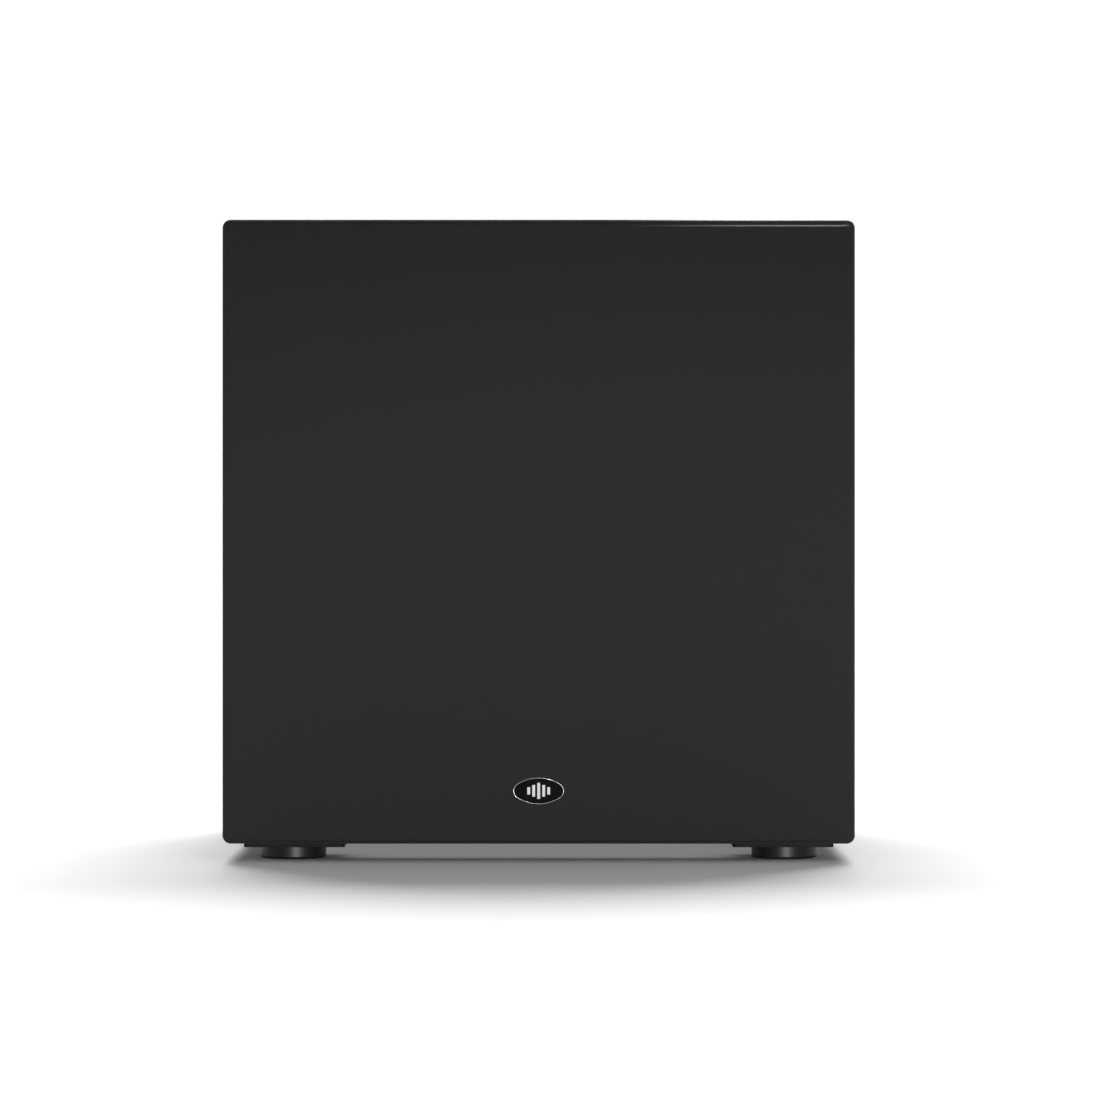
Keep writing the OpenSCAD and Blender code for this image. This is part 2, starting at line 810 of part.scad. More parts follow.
module rocker_housing() {
  color([0.05, 0.05, 0.05]) at_plate() translate([rocker_u, rocker_v, 0]) {
    difference() {
      union() {
        block(rocker_w, rocker_h, -18, 0);
        rounded_plate(rocker_w + 3, rocker_h + 3, 1.5, 0, 1.6);
      }
      block(12, 24.2, -12, 3);
      translate([0, 0, pivot_z]) rotate([0, 90, 0]) disc(1.26, -6.8, 6.8);
    }
    for (y = [-8, 0, 8]) translate([0, y, 0]) block(4.8, 0.8, -26, -17.5);
  }
}

module socket_outline(w, h, bevel) {
  polygon([
    [-w / 2, -h / 2], [w / 2, -h / 2], [w / 2, h / 2 - bevel], [w / 2 - bevel, h / 2],
    [bevel - w / 2, h / 2], [-w / 2, h / 2 - bevel]
  ]);
}

module at_pins() {
  for (p = [[-7, -2], [0, 2], [7, -2]]) translate([iec_u + p[0], socket_v + p[1], 0]) children();
}

// Mains inlet: a moulded socket above a slot for the fuse drawer
module iec_inlet() {
  color([0.05, 0.05, 0.05]) at_plate() difference() {
    translate([iec_u, iec_v, 0]) {
      block(iec_w, iec_h, -28, 0);
      rounded_plate(30.5, 54, 2, 0, 2);
    }
    translate([iec_u, socket_v, -16]) linear_extrude(20) socket_outline(24.4, 16.6, 4.5);
    translate([iec_u, drawer_v, 0]) block(22.4, 9.4, -24, 3);
    at_pins() block(pin_w, pin_h, -30, 0);
  }
}

module iec_pins() { color([0.8, 0.8, 0.78]) at_plate() at_pins() block(pin_w, pin_h, -35, 0); }

module fuse_drawer() {
  color([0.07, 0.07, 0.07]) at_plate() translate([iec_u, drawer_v, 0]) difference() {
    union() {
      block(22, 9, -22.5, 2.5);
      block(24, 11, 2.2, 3.8);
    }
    translate([0, 2.6, 0]) block(5.6, 8.4, -21, -0.4);
    translate([0, 5.5, 0]) block(10, 2, 3, 5);
  }
}

module mains_fuse() {
  color([0.85, 0.86, 0.85]) at_plate() translate([iec_u, drawer_v + 1, 0]) {
    disc(2.3, -16, -5);
    disc(2.6, -20.8, -15.5);
    disc(2.6, -5.8, -0.6);
  }
}

module circuit_boards() {
  t = 1.6;
  color([0.1, 0.35, 0.15]) at_plate() {
    translate([0, knob_v, 0]) block(200, 36, -12 - t, -12);
    translate([-50, -22.5, 0]) block(100, 115, board_z, board_z + t);
    for (x = [-94, -6], y = [-74, 29]) translate([x, y, 0]) disc(3, cover_z + cover_t, board_z + joined);
  }
}

module transformer() {
  low = cover_z + cover_t;
  core_r = 15;
  coil_h = 40;
  color([0.75, 0.65, 0.15]) at_plate() translate([55, -25, 0]) {
    tube(45, core_r, low, low + coil_h);
    disc(core_r + joined, low, low + 6);
    disc(core_r + 4, low + coil_h, low + coil_h + 3);
  }
}

module capacitors() {
  low = board_z + 1.6;
  color([0.1, 0.15, 0.35]) at_plate() {
    for (u = [-80, -50]) translate([u, 15, 0]) disc(12.5, low, low + 26);
    for (u = [-88, -72, -56], v = [-60, -44]) translate([u, v, 0]) disc(5, low, low + 14);
  }
}

// Woofer leads to the power board, and the mains leads from inlet to switch to transformer
module internal_wiring() {
  r = 1.3;
  tag_z = -26;
  turn_z = -38;
  line_v = socket_v - 2;
  blade_y = baffle_y + 60;
  blade_z = mid_z - 94.2;
  color([0.7, 0.12, 0.1]) {
    for (s = [-1, 1]) wire([
      [s * 7, blade_y, blade_z], [s * 7, blade_y + 8, blade_z - 7], [s * 7, blade_y + 24, blade_z - 9],
      [s * 3 - wire_u, rear_y - 130, plate_z + wire_v],
      [s * 3 - wire_u, plate_y + board_z, plate_z + wire_v]
    ], r);
    at_plate() {
      wire([[iec_u - 7, line_v, -35], [iec_u - 7, line_v, turn_z], [iec_u - 14, line_v, turn_z - 1],
        [rocker_u + 8, rocker_v + 8, turn_z - 1], [rocker_u, rocker_v + 8, turn_z],
        [rocker_u, rocker_v + 8, tag_z]], r);
      wire([[rocker_u, rocker_v, tag_z], [rocker_u, rocker_v, turn_z + 5],
        [rocker_u + 6, rocker_v, turn_z + 4], [14, rocker_v, turn_z + 4],
        [26, rocker_v + 3, turn_z - 3]], r);
      wire([[iec_u + 7, line_v, -35], [iec_u + 7, line_v, -41]], r);
    }
  }
}

top_board();
bottom_board();
left_board();
right_board();
front_baffle();
rear_board();
window_brace();
wadding_mats();
grille_frame();
grille_cloth();
grille_pegs();
peg_cups();
badge_bezel();
badge_plate();
woofer_basket();
woofer_trim_ring();
surround();
cone();
dust_cap();
coil_former();
voice_coil();
spider();
top_plate();
magnet_ring();
pole_yoke();
woofer_terminals();
tinsel_leads();
woofer_screws();
threaded_inserts();
port_flare();
port_tube();
port_inner_flare();
port_screws();
rubber_feet();
foot_plates();
foot_screws();
amp_plate();
amp_gasket();
amp_screws();
amp_cover();
heatsink();
level_knob();
crossover_knob();
control_pots();
phase_slider();
mode_slider();
slide_switches();
rca_shells();
rca_insulators();
status_led();
power_rocker();
rocker_housing();
iec_inlet();
iec_pins();
fuse_drawer();
mains_fuse();
circuit_boards();
transformer();
capacitors();
internal_wiring();
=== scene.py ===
import json
import math

import bmesh
import bpy
from mathutils import Matrix, Vector
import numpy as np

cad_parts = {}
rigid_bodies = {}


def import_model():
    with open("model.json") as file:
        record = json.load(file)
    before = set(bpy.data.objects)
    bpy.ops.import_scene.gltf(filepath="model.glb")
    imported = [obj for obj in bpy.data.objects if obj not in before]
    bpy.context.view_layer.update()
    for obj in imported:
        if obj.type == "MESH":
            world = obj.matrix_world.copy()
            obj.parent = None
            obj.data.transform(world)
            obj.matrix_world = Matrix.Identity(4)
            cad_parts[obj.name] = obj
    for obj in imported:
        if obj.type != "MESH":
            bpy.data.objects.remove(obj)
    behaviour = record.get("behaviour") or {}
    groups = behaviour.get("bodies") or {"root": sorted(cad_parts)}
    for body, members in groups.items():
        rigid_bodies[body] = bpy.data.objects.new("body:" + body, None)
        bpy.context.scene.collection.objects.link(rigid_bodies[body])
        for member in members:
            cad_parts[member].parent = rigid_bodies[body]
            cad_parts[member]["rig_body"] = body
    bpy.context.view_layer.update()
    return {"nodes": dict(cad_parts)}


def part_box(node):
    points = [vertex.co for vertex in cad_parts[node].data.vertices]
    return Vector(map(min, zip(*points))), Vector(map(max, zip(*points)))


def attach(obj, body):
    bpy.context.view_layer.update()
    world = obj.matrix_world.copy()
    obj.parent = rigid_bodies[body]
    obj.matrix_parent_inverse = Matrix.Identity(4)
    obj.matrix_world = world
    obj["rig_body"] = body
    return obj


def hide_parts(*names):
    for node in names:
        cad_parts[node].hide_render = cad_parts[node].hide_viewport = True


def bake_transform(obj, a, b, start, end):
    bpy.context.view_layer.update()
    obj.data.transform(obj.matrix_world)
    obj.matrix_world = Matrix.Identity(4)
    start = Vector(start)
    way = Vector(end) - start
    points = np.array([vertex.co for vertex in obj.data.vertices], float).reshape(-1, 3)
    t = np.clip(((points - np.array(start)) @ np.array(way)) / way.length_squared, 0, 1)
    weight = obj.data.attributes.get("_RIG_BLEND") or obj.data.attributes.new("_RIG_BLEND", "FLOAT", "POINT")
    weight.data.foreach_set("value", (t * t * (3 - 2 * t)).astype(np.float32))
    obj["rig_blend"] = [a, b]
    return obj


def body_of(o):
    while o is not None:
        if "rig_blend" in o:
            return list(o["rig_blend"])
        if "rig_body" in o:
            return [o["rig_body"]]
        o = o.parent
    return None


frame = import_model()


# ---- The room: a pale floor, pale surroundings and soft studio lamps ----
# The floor is a plain matt board. A very broad lamp above and behind throws the soft shadow forwards, and a
# low wide beam lights the lower front. A small strip picks out the grille's upper right edge, and a faint
# panel under the cabinet keeps the floor there from going black.

def set_inputs(tree, node, **inputs):
    """Sets a node's inputs to numbers or joins them to other nodes' outputs; i2 is the third input"""
    for name, value in inputs.items():
        by_number = name[0] == "i" and name[1:].isdigit()
        socket = node.inputs[int(name[1:]) if by_number else name.replace("_", " ")]
        if isinstance(value, bpy.types.NodeSocket):
            tree.links.new(value, socket)
        else:
            socket.default_value = value


def add(tree, kind, **inputs):
    made = tree.nodes.new(kind)
    set_inputs(tree, made, **inputs)
    return made


def finish_of(name, colour, roughness, metallic=0.0, specular=0.5):
    """A new material in one plain finish, ready for its grain"""
    made = bpy.data.materials.new(name)
    made.use_nodes = True
    made.diffuse_color = (*colour, 1)
    tree = made.node_tree
    set_inputs(tree, tree.nodes["Principled BSDF"], Base_Color=(*colour, 1), Roughness=roughness,
               Metallic=metallic, Specular_IOR_Level=specular)
    return made, tree


def piece_of(name, content):
    """A new object at the origin, in the scene"""
    piece = bpy.data.objects.new(name, content)
    bpy.context.scene.collection.objects.link(piece)
    return piece


def aimed(lamp, place, aim):
    lamp.location = place
    lamp.rotation_euler = (Vector(aim) - Vector(place)).to_track_quat("-Z", "Y").to_euler()


def soft_lamp(name, place, aim, width, height, watts):
    panel = bpy.data.lights.new(name, "AREA")
    panel.shape = "RECTANGLE"
    panel.size = width
    panel.size_y = height
    panel.energy = watts
    lamp = piece_of(name, panel)
    aimed(lamp, place, aim)
    lamp.visible_camera = False


surroundings = bpy.data.worlds.new("pale_room")
surroundings.use_nodes = True
tree = surroundings.node_tree
direction = add(tree, "ShaderNodeSeparateXYZ", Vector=add(tree, "ShaderNodeTexCoord").outputs["Generated"])
walls = add(tree, "ShaderNodeMapRange", Value=direction.outputs["Z"], From_Min=0.14, From_Max=0.5,
            To_Min=1.05, To_Max=0.16)
walls.interpolation_type = "SMOOTHSTEP"
tree.links.new(walls.outputs["Result"], tree.nodes["Background"].inputs["Strength"])
tree.nodes["Background"].inputs["Color"].default_value = (1, 1, 1, 1)
bpy.context.scene.world = surroundings
bpy.context.scene.view_settings.view_transform = "Standard"

floor_mesh = bpy.data.meshes.new("floor")
half = 30.0
floor_mesh.from_pydata([(-half, -half, 0), (half, -half, 0), (half, half, 0), (-half, half, 0)], [],
                       [(0, 1, 2, 3)])
floor = piece_of("floor", floor_mesh)
floor_mesh.materials.append(finish_of("floor_paint", (0.92, 0.92, 0.92), 0.9, specular=0.1)[0])

sky = bpy.data.lights.new("broad_lamp", "SUN")
sky.energy = 4.4
sky.angle = math.radians(48)
broad_lamp = piece_of("broad_lamp", sky)
broad_lamp.rotation_euler = (math.radians(-47), 0, math.radians(-2))

beam = bpy.data.lights.new("low_front_beam", "SPOT")
beam.energy = 297
beam.spot_size = math.radians(16.5)
beam.spot_blend = 1.0
beam.shadow_soft_size = 0.12
low_front_beam = piece_of("low_front_beam", beam)
aimed(low_front_beam, (0.42, -2.88, 0.06), (0.04, -0.2, 0.05))
low_front_beam.scale = (2.2, 1, 1)
soft_lamp("edge_strip", (0.25, -1.7, 0.72), (0.15, -0.2, 0.38), width=0.12, height=0.02, watts=3.5)
soft_lamp("under_panel", (0, 0, 0.0113), (0, 0, 0), width=0.33, height=0.30, watts=0.06)

lens = bpy.data.cameras.new("camera")
lens.sensor_width = 36
lens.lens = 163.6
lens.clip_end = 100
camera = piece_of("camera", lens)
camera.location = (0.0068, -3.202, 0.188)
camera.rotation_euler = (math.pi / 2, 0, 0)
bpy.context.scene.camera = camera


# ---- Cabinet boards ----
# Four mitred fibreboards and an inset rear board, glued up and wrapped in a black vinyl with a pressed ash
# grain. The grain runs along the depth on the top and bottom, and up and down on the sides and the rear.

def object_place(tree, scale=(1, 1, 1)):
    """The piece's own coordinates in metres, stretched to suit a grain"""
    at = add(tree, "ShaderNodeTexCoord")
    return add(tree, "ShaderNodeMapping", Vector=at.outputs["Object"], Scale=scale).outputs["Vector"]


def noise(tree, place, scale, detail=2.0, rough=0.5, distort=0.0):
    made = add(tree, "ShaderNodeTexNoise", Vector=place, Scale=scale, Detail=detail, Roughness=rough,
               Distortion=distort)
    return made.outputs["Fac"]


def ramp(tree, value, stops):
    """A colour ramp from (position, grey or colour) pairs"""
    made = add(tree, "ShaderNodeValToRGB", Fac=value)
    band = made.color_ramp
    while len(band.elements) < len(stops):
        band.elements.new(0.5)
    for element, (position, shade) in zip(band.elements, stops):
        element.position = position
        element.color = (shade, shade, shade, 1) if isinstance(shade, float) else (*shade, 1)
    return made.outputs["Color"]


def between(tree, value, low, high, from_low=0.0, from_high=1.0):
    return add(tree, "ShaderNodeMapRange", Value=value, From_Min=from_low, From_Max=from_high, To_Min=low,
               To_Max=high).outputs["Result"]


def blended(tree, share, first, second):
    """A colour between two others"""
    made = tree.nodes.new("ShaderNodeMix")
    made.data_type = "RGBA"
    for socket, value in ((made.inputs[0], share), (made.inputs[6], first), (made.inputs[7], second)):
        if isinstance(value, bpy.types.NodeSocket):
            tree.links.new(value, socket)
        else:
            socket.default_value = value if isinstance(value, float) else (*value, 1)
    return made.outputs[2]


def sums(tree, how, first, second=0.0):
    made = add(tree, "ShaderNodeMath", i0=first, i1=second)
    made.operation = how
    return made.outputs["Value"]


def plus(tree, first, second):
    return sums(tree, "ADD", first, second)


def minus(tree, first, second):
    return sums(tree, "SUBTRACT", first, second)


def times(tree, first, second):
    return sums(tree, "MULTIPLY", first, second)


def sine(tree, angle):
    return sums(tree, "SINE", angle)


def cosine(tree, angle):
    return sums(tree, "COSINE", angle)


def cells(tree, place, scale):
    return add(tree, "ShaderNodeTexVoronoi", Vector=place, Scale=scale).outputs


def bands_of(tree, place, scale, direction, **sizes):
    made = add(tree, "ShaderNodeTexWave", Vector=place, Scale=scale, **sizes)
    made.bands_direction = direction
    return made.outputs["Fac"]


def split(tree, place):
    return add(tree, "ShaderNodeSeparateXYZ", Vector=place).outputs


def joined(tree, **parts):
    return add(tree, "ShaderNodeCombineXYZ", **parts).outputs["Vector"]


def feed(made, height=None, depth=0.0, strength=1.0, **surface):
    """Sets or joins a finish's inputs, and joins a height of 0 to 1 to its bump, of a depth in metres"""
    tree = made.node_tree
    if height is not None:
        bump = add(tree, "ShaderNodeBump", Height=height, Distance=depth, Strength=strength)
        surface["Normal"] = bump.outputs["Normal"]
    set_inputs(tree, tree.nodes["Principled BSDF"], **surface)
    return made


def put_on(material, *names):
    """Gives CAD nodes a finish in place of the plain one they were packed with"""
    for name in names:
        mesh = frame["nodes"][name].data
        mesh.materials.clear()
        mesh.materials.append(material)


def ash_wrap(name, along):
    """Black vinyl with open pores and soft growth bands along one axis"""
    made, tree = finish_of(name, (0.022, 0.021, 0.020), 0.48, specular=0.35)
    growth = [1.0 if axis == along else 14.0 for axis in range(3)]
    flecks = [9.0 if axis == along else 230.0 for axis in range(3)]
    bands = noise(tree, object_place(tree, growth), 5.5, 4.0, 0.55, 0.6)
    pores = noise(tree, object_place(tree, flecks), 9.0, 3.0, 0.6)
    pits = ramp(tree, pores, [(0.36, 0.0), (0.47, 1.0)])
    tone = ramp(tree, bands, [(0.3, (0.0105, 0.0101, 0.0098)), (0.7, (0.0205, 0.0198, 0.0186))])
    shade = blended(tree, between(tree, pits, 0.55, 0.0), tone, (0.008, 0.008, 0.008))
    return feed(made, plus(tree, pits, times(tree, bands, 0.5)), 0.00016, 0.8, Base_Color=shade,
                Roughness=between(tree, bands, 0.42, 0.56))


put_on(ash_wrap("ash_wrap_level", 1), "top_board", "bottom_board")
put_on(ash_wrap("ash_wrap_upright", 2), "left_board", "right_board", "rear_board")


# ---- Front baffle ----
# A thicker board with the woofer's cut-out and rebate and the grille's sockets, sprayed matt black. Its
# fibres drink the paint, so it stays dry and slightly speckled.

def painted_board(name, dark, light, roughness):
    made, tree = finish_of(name, light, roughness, specular=0.25)
    place = object_place(tree)
    fibres = noise(tree, place, 900, 3.0, 0.65)
    cloudy = noise(tree, place, 14, 3.0, 0.5)
    return feed(made, fibres, 0.00012, 0.7,
                Base_Color=blended(tree, times(tree, fibres, cloudy), dark, light),
                Roughness=between(tree, cloudy, roughness - 0.08, roughness + 0.06))


put_on(painted_board("matt_black_board", (0.008, 0.008, 0.008), (0.036, 0.035, 0.034), 0.82), "front_baffle")


# ---- Window brace ----
# A board glued upright across the cabinet to stiffen it, with windows for the air and a hole that carries the
# port tube. It is bare fibreboard, so its cut edges show short pale fibres.

put_on(painted_board("bare_board", (0.24, 0.15, 0.085), (0.62, 0.46, 0.30), 0.8), "window_brace")


# ---- Wadding ----
# Three mats of loose polyester wadding stapled to the side boards and the top. Each is built fluffy on its
# own box: rounded edges, a quilted swell and a fine tangle on its faces.

def mesh_from(made, name, smooth=False):
    """Ends a bmesh as a mesh"""
    mesh = bpy.data.meshes.new(name)
    made.to_mesh(mesh)
    made.free()
    if smooth:
        mesh.shade_smooth()
    return mesh


def mat_of_wadding(name, low, high):
    made = bmesh.new()
    bmesh.ops.create_cube(made, size=1.0)
    bmesh.ops.subdivide_edges(made, edges=made.edges[:], cuts=23, use_grid_fill=True)
    middle, side = (low + high) / 2, high - low
    thin = min(range(3), key=lambda axis: side[axis])
    for corner in made.verts:
        at = corner.co * 2
        swell = 1.0
        for axis in range(3):
            if axis != thin:
                quilt = 0.9 + 0.1 * abs(math.cos(3 * math.pi * at[axis]))
                swell *= (1 - abs(at[axis]) ** 7 * 0.75) * quilt
        x, y, z = at
        tuft = 0.5 + 0.5 * math.sin(17 * x + 3 * z) * math.sin(23 * y + 5 * x) * math.sin(19 * z - 4 * y)
        for axis in range(3):
            grow = swell * (0.93 + 0.06 * tuft) if axis == thin else 0.985 + 0.015 * tuft
            corner.co[axis] = middle[axis] + at[axis] * side[axis] / 2 * grow
    return piece_of(name, mesh_from(made, name, smooth=True))


def fitted(piece, body, node=None):
    """Hangs a piece on its body, in place of a CAD node if one is named"""
    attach(piece, body)
    if node:
        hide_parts(node)


def wadding_fluff():
    made, tree = finish_of("wadding_fluff", (0.78, 0.78, 0.75), 0.95, specular=0.1)
    place = object_place(tree)
    tangle = noise(tree, place, 420, 6.0, 0.75, 1.5)
    lumps = noise(tree, place, 38, 4.0, 0.6, 0.8)
    both = plus(tree, times(tree, tangle, 0.5), times(tree, lumps, 0.5))
    return feed(made, both, 0.003, 0.9, Sheen_Weight=0.4,
                Base_Color=ramp(tree, both, [(0.3, (0.52, 0.52, 0.49)), (0.62, (0.90, 0.90, 0.87))]))


fluff = wadding_fluff()
mats_low, mats_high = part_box("wadding_mats")
side_mat_t = 0.024
side_mat_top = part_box("window_brace")[0].z + 0.3105
top_mat_t = 0.017
top_mat_half = 0.14
top_mat_back = 0.010
wide = mats_high.x
front, floor_z, top_z = mats_low.y, mats_low.z, mats_high.z
for name, low, high in (
    ("left", (-wide, front, floor_z), (side_mat_t - wide, mats_high.y, side_mat_top)),
    ("right", (wide - side_mat_t, front, floor_z), (wide, mats_high.y, side_mat_top)),
    ("top", (-top_mat_half, front, top_z - top_mat_t), (top_mat_half, top_mat_back, top_z)),
):
    piece = mat_of_wadding("wadding_" + name, Vector(low), Vector(high))
    piece.data.materials.append(fluff)
    fitted(piece, "cabinet", "wadding_mats")


# ---- Screws, cut from one pattern ----
# Every screw is a pan head with a pressed cross recess, black oxide or bright zinc. A geometry tree sets one
# head on each point of a pattern, each turned to its own angle as a real screw stops.

def tree_of(name, **sizes):
    """A geometry tree with named inputs for its sizes"""
    tree = bpy.data.node_groups.new(name, "GeometryNodeTree")
    tree.interface.new_socket("Geometry", in_out="INPUT", socket_type="NodeSocketGeometry")
    for label, value in sizes.items():
        kind = "NodeSocketInt" if isinstance(value, int) else "NodeSocketFloat"
        tree.interface.new_socket(label, in_out="INPUT", socket_type=kind).default_value = value
    tree.interface.new_socket("Geometry", in_out="OUTPUT", socket_type="NodeSocketGeometry")
    return tree, tree.nodes.new("NodeGroupInput").outputs


def ended(tree, geometry, finish):
    """Turns a tree's instances into a plain mesh in one finish, and joins that to its output"""
    real = add(tree, "GeometryNodeRealizeInstances", Geometry=geometry)
    dressed = add(tree, "GeometryNodeSetMaterial", Geometry=real.outputs["Geometry"], Material=finish)
    tree.links.new(dressed.outputs["Geometry"], tree.nodes.new("NodeGroupOutput").inputs["Geometry"])
    return tree


def plain_mesh(piece):
    """The mesh that a piece shows with all its modifiers on"""
    return bpy.data.meshes.new_from_object(piece.evaluated_get(bpy.context.evaluated_depsgraph_get()))


def grown(name, tree, start, **sizes):
    """The plain mesh that a geometry tree makes from a starting mesh"""
    piece = piece_of(name, start)
    maker = piece.modifiers.new("maker", "NODES")
    maker.node_group = tree
    for item in tree.interface.items_tree:
        if item.in_out == "INPUT" and item.name in sizes:
            maker[item.identifier] = sizes[item.name]
    result = plain_mesh(piece)
    piece.modifiers.remove(maker)
    piece.data = result
    return piece


def turned(name, outline, segments=48):
    """A mesh turned about Z from a closed outline of (radius, height) points"""
    made = bmesh.new()
    rings = []
    for step in range(segments):
        angle = 2 * math.pi * step / segments
        rings.append([made.verts.new((r * math.cos(angle), r * math.sin(angle), h)) for r, h in outline])
    count = len(outline)
    for step in range(segments):
        here, there = rings[step], rings[(step + 1) % segments]
        for i in range(count):
            made.faces.new((here[i], there[i], there[(i + 1) % count], here[(i + 1) % count]))
    bmesh.ops.remove_doubles(made, verts=made.verts[:], dist=1e-6)
    bmesh.ops.dissolve_degenerate(made, edges=made.edges[:], dist=1e-7)
    bmesh.ops.recalc_face_normals(made, faces=made.faces[:])
    return mesh_from(made, name)


def boxes(name, sizes):
    """A mesh of tapered blocks: (width, depth, bottom, top, share of the width left at the bottom)"""
    made = bmesh.new()
    for width, depth, low, high, taper in sizes:
        block = bmesh.ops.create_cube(made, size=1.0)["verts"]
        for corner in block:
            share, height = (taper, low) if corner.co.z < 0 else (1.0, high)
            corner.co = (corner.co.x * width * share, corner.co.y * depth * share, height)
    return mesh_from(made, name)


def cut_away(mesh, cutter):
    """mesh less cutter, as a plain mesh"""
    body = piece_of("body", mesh)
    tool = piece_of("tool", cutter)
    cut = body.modifiers.new("cut", "BOOLEAN")
    cut.object = tool
    cut.solver = "EXACT"
    result = plain_mesh(body)
    for thing in (body, tool):
        bpy.data.objects.remove(thing)
    return result


def pan_head(radius, height, shaft_r, shaft_l):
    """A domed head on a plain shaft, with a cross recess; the shaft ends at minus shaft_l"""
    crown = [(radius * math.sin(a), height * (0.35 + 0.65 * math.cos(a))) for a in
             [math.pi / 2 * i / 8 for i in range(9)]]
    rim = 0.12 * height
    outline = crown + [(radius, rim), (radius - rim, 0), (shaft_r, 0), (shaft_r, -shaft_l), (0, -shaft_l)]
    arms = ((1.15 * radius, 0.27 * radius), (0.27 * radius, 1.15 * radius))
    cross = boxes("cross", [(wide, deep, 0.25 * height, 1.2 * height, 0.5) for wide, deep in arms])
    return cut_away(turned("head", outline, 32), cross)


def socket_head(radius, height, shaft_r, shaft_l):
    """A cap head with a six-sided socket"""
    lip = 0.14 * radius
    outline = [(0, height), (radius - lip, height), (radius - 0.3 * lip, height - 0.3 * lip),
               (radius, height - lip), (radius, 0), (shaft_r, 0), (shaft_r, -shaft_l), (0, -shaft_l)]
    socket = turned("socket", [(0, 2 * height), (0.52 * radius, 2 * height), (0.52 * radius, 0.35 * height),
                               (0, 0.2 * height)], 6)
    return cut_away(turned("head", outline, 36), socket)


def screw_tree(head, finish):
    """Sets one screw on every point of the starting mesh, along Facing X, Y and Z"""
    tree, given = tree_of("screw_pattern", Facing_X=0.0, Facing_Y=0.0, Facing_Z=1.0, Seed=4)
    pattern = add(tree, "GeometryNodeObjectInfo", Object=head)
    facing = joined(tree, X=given["Facing_X"], Y=given["Facing_Y"], Z=given["Facing_Z"])
    upright = add(tree, "FunctionNodeAlignEulerToVector", Vector=facing)
    upright.axis = "Z"
    spin = add(tree, "FunctionNodeRandomValue", i2=0.0, i3=6.283, Seed=given["Seed"]).outputs[1]
    both = tree.nodes.new("FunctionNodeRotateEuler")
    both.space = "LOCAL"
    tree.links.new(upright.outputs["Rotation"], both.inputs["Rotation"])
    tree.links.new(joined(tree, Z=spin), both.inputs["Rotate By"])
    points = add(tree, "GeometryNodeMeshToPoints", Mesh=given["Geometry"])
    set_out = add(tree, "GeometryNodeInstanceOnPoints", Points=points.outputs["Points"],
                  Instance=pattern.outputs["Geometry"], Rotation=both.outputs["Rotation"])
    return ended(tree, set_out.outputs["Instances"], finish)


def screws(name, node, head_mesh, finish, points, facing, seed):
    head = piece_of("head", head_mesh)
    start = bpy.data.meshes.new(name)
    start.from_pydata([tuple(p) for p in points], [], [])
    towards = {"Facing_" + axis: float(value) for axis, value in zip("XYZ", facing)}
    piece = grown(name, screw_tree(head, finish), start, Seed=seed, **towards)
    bpy.data.objects.remove(head)
    fitted(piece, body_of(frame["nodes"][node])[0], node)


def islands(node):
    """The middle of each separate solid of a CAD node, where all of them are alike and well apart"""
    mesh = frame["nodes"][node].data
    made = bmesh.new()
    made.from_mesh(mesh)
    bmesh.ops.remove_doubles(made, verts=made.verts[:], dist=1e-6)
    left, found = set(made.verts), []
    while left:
        stack, group = [left.pop()], []
        while stack:
            corner = stack.pop()
            group.append(corner)
            for edge in corner.link_edges:
                other = edge.other_vert(corner)
                if other in left:
                    left.remove(other)
                    stack.append(other)
        low = Vector([min(v.co[axis] for v in group) for axis in range(3)])
        high = Vector([max(v.co[axis] for v in group) for axis in range(3)])
        found.append((low + high) / 2)
    made.free()
    return sorted(found, key=lambda p: (round(p.x, 4), round(p.y, 4), round(p.z, 4)))


def grained(name, tone, roughness, shades, grain, gloss=None, depth=None, strength=0.5, stretch=(1, 1, 1),
            **surface):
    """A finish in which one grain sets the tone, the gloss and the relief. shades are two tones or ramp
    stops, and gloss is the roughness at the grain's low and high ends"""
    made, tree = finish_of(name, tone, roughness, **surface)
    worn = noise(tree, object_place(tree, stretch), *grain)
    feeds = {}
    if shades:
        stops = len(shades[0]) == 2
        feeds["Base_Color"] = ramp(tree, worn, shades) if stops else blended(tree, worn, *shades)
    if gloss:
        feeds["Roughness"] = between(tree, worn, *gloss)
    return feed(made, worn if depth else None, depth, strength, **feeds)


def bright_zinc():
    tone = (0.56, 0.56, 0.57)
    made, tree = finish_of("bright_zinc", tone, 0.34, metallic=1.0)
    place = object_place(tree)
    cloudy = noise(tree, place, 60, 4.0, 0.6)
    return feed(made, noise(tree, place, 1400, 2.0), 0.00002, 0.4,
                Base_Color=blended(tree, cloudy, [0.78 * c for c in tone], tone),
                Roughness=between(tree, cells(tree, place, 170.0)["Distance"], 0.27, 0.47))


oxide = grained("black_oxide", (0.045, 0.045, 0.047), 0.38,
                [(0.35, (0.025, 0.025, 0.027)), (0.75, (0.085, 0.083, 0.08))], (700, 4.0, 0.6), (0.3, 0.5),
                0.00003, metallic=0.85)
zinc = bright_zinc()


# ---- Feet ----
# Four moulded rubber feet, each held by one zinc screw in a recess, through a square steel plate that spreads
# the load on the bottom board. The rubber is a little glossy with a soft radius at the ground.

def rubber(name, dark, light, roughness, grain=0.00002, gloss=0.5):
    made, tree = finish_of(name, light, roughness, specular=gloss)
    place = object_place(tree)
    bloom = noise(tree, place, 45, 5.0, 0.6)
    return feed(made, noise(tree, place, 1600, 2.0, 0.6), grain, 0.6,
                Base_Color=blended(tree, bloom, dark, light),
                Roughness=between(tree, bloom, roughness - 0.06, roughness + 0.08))


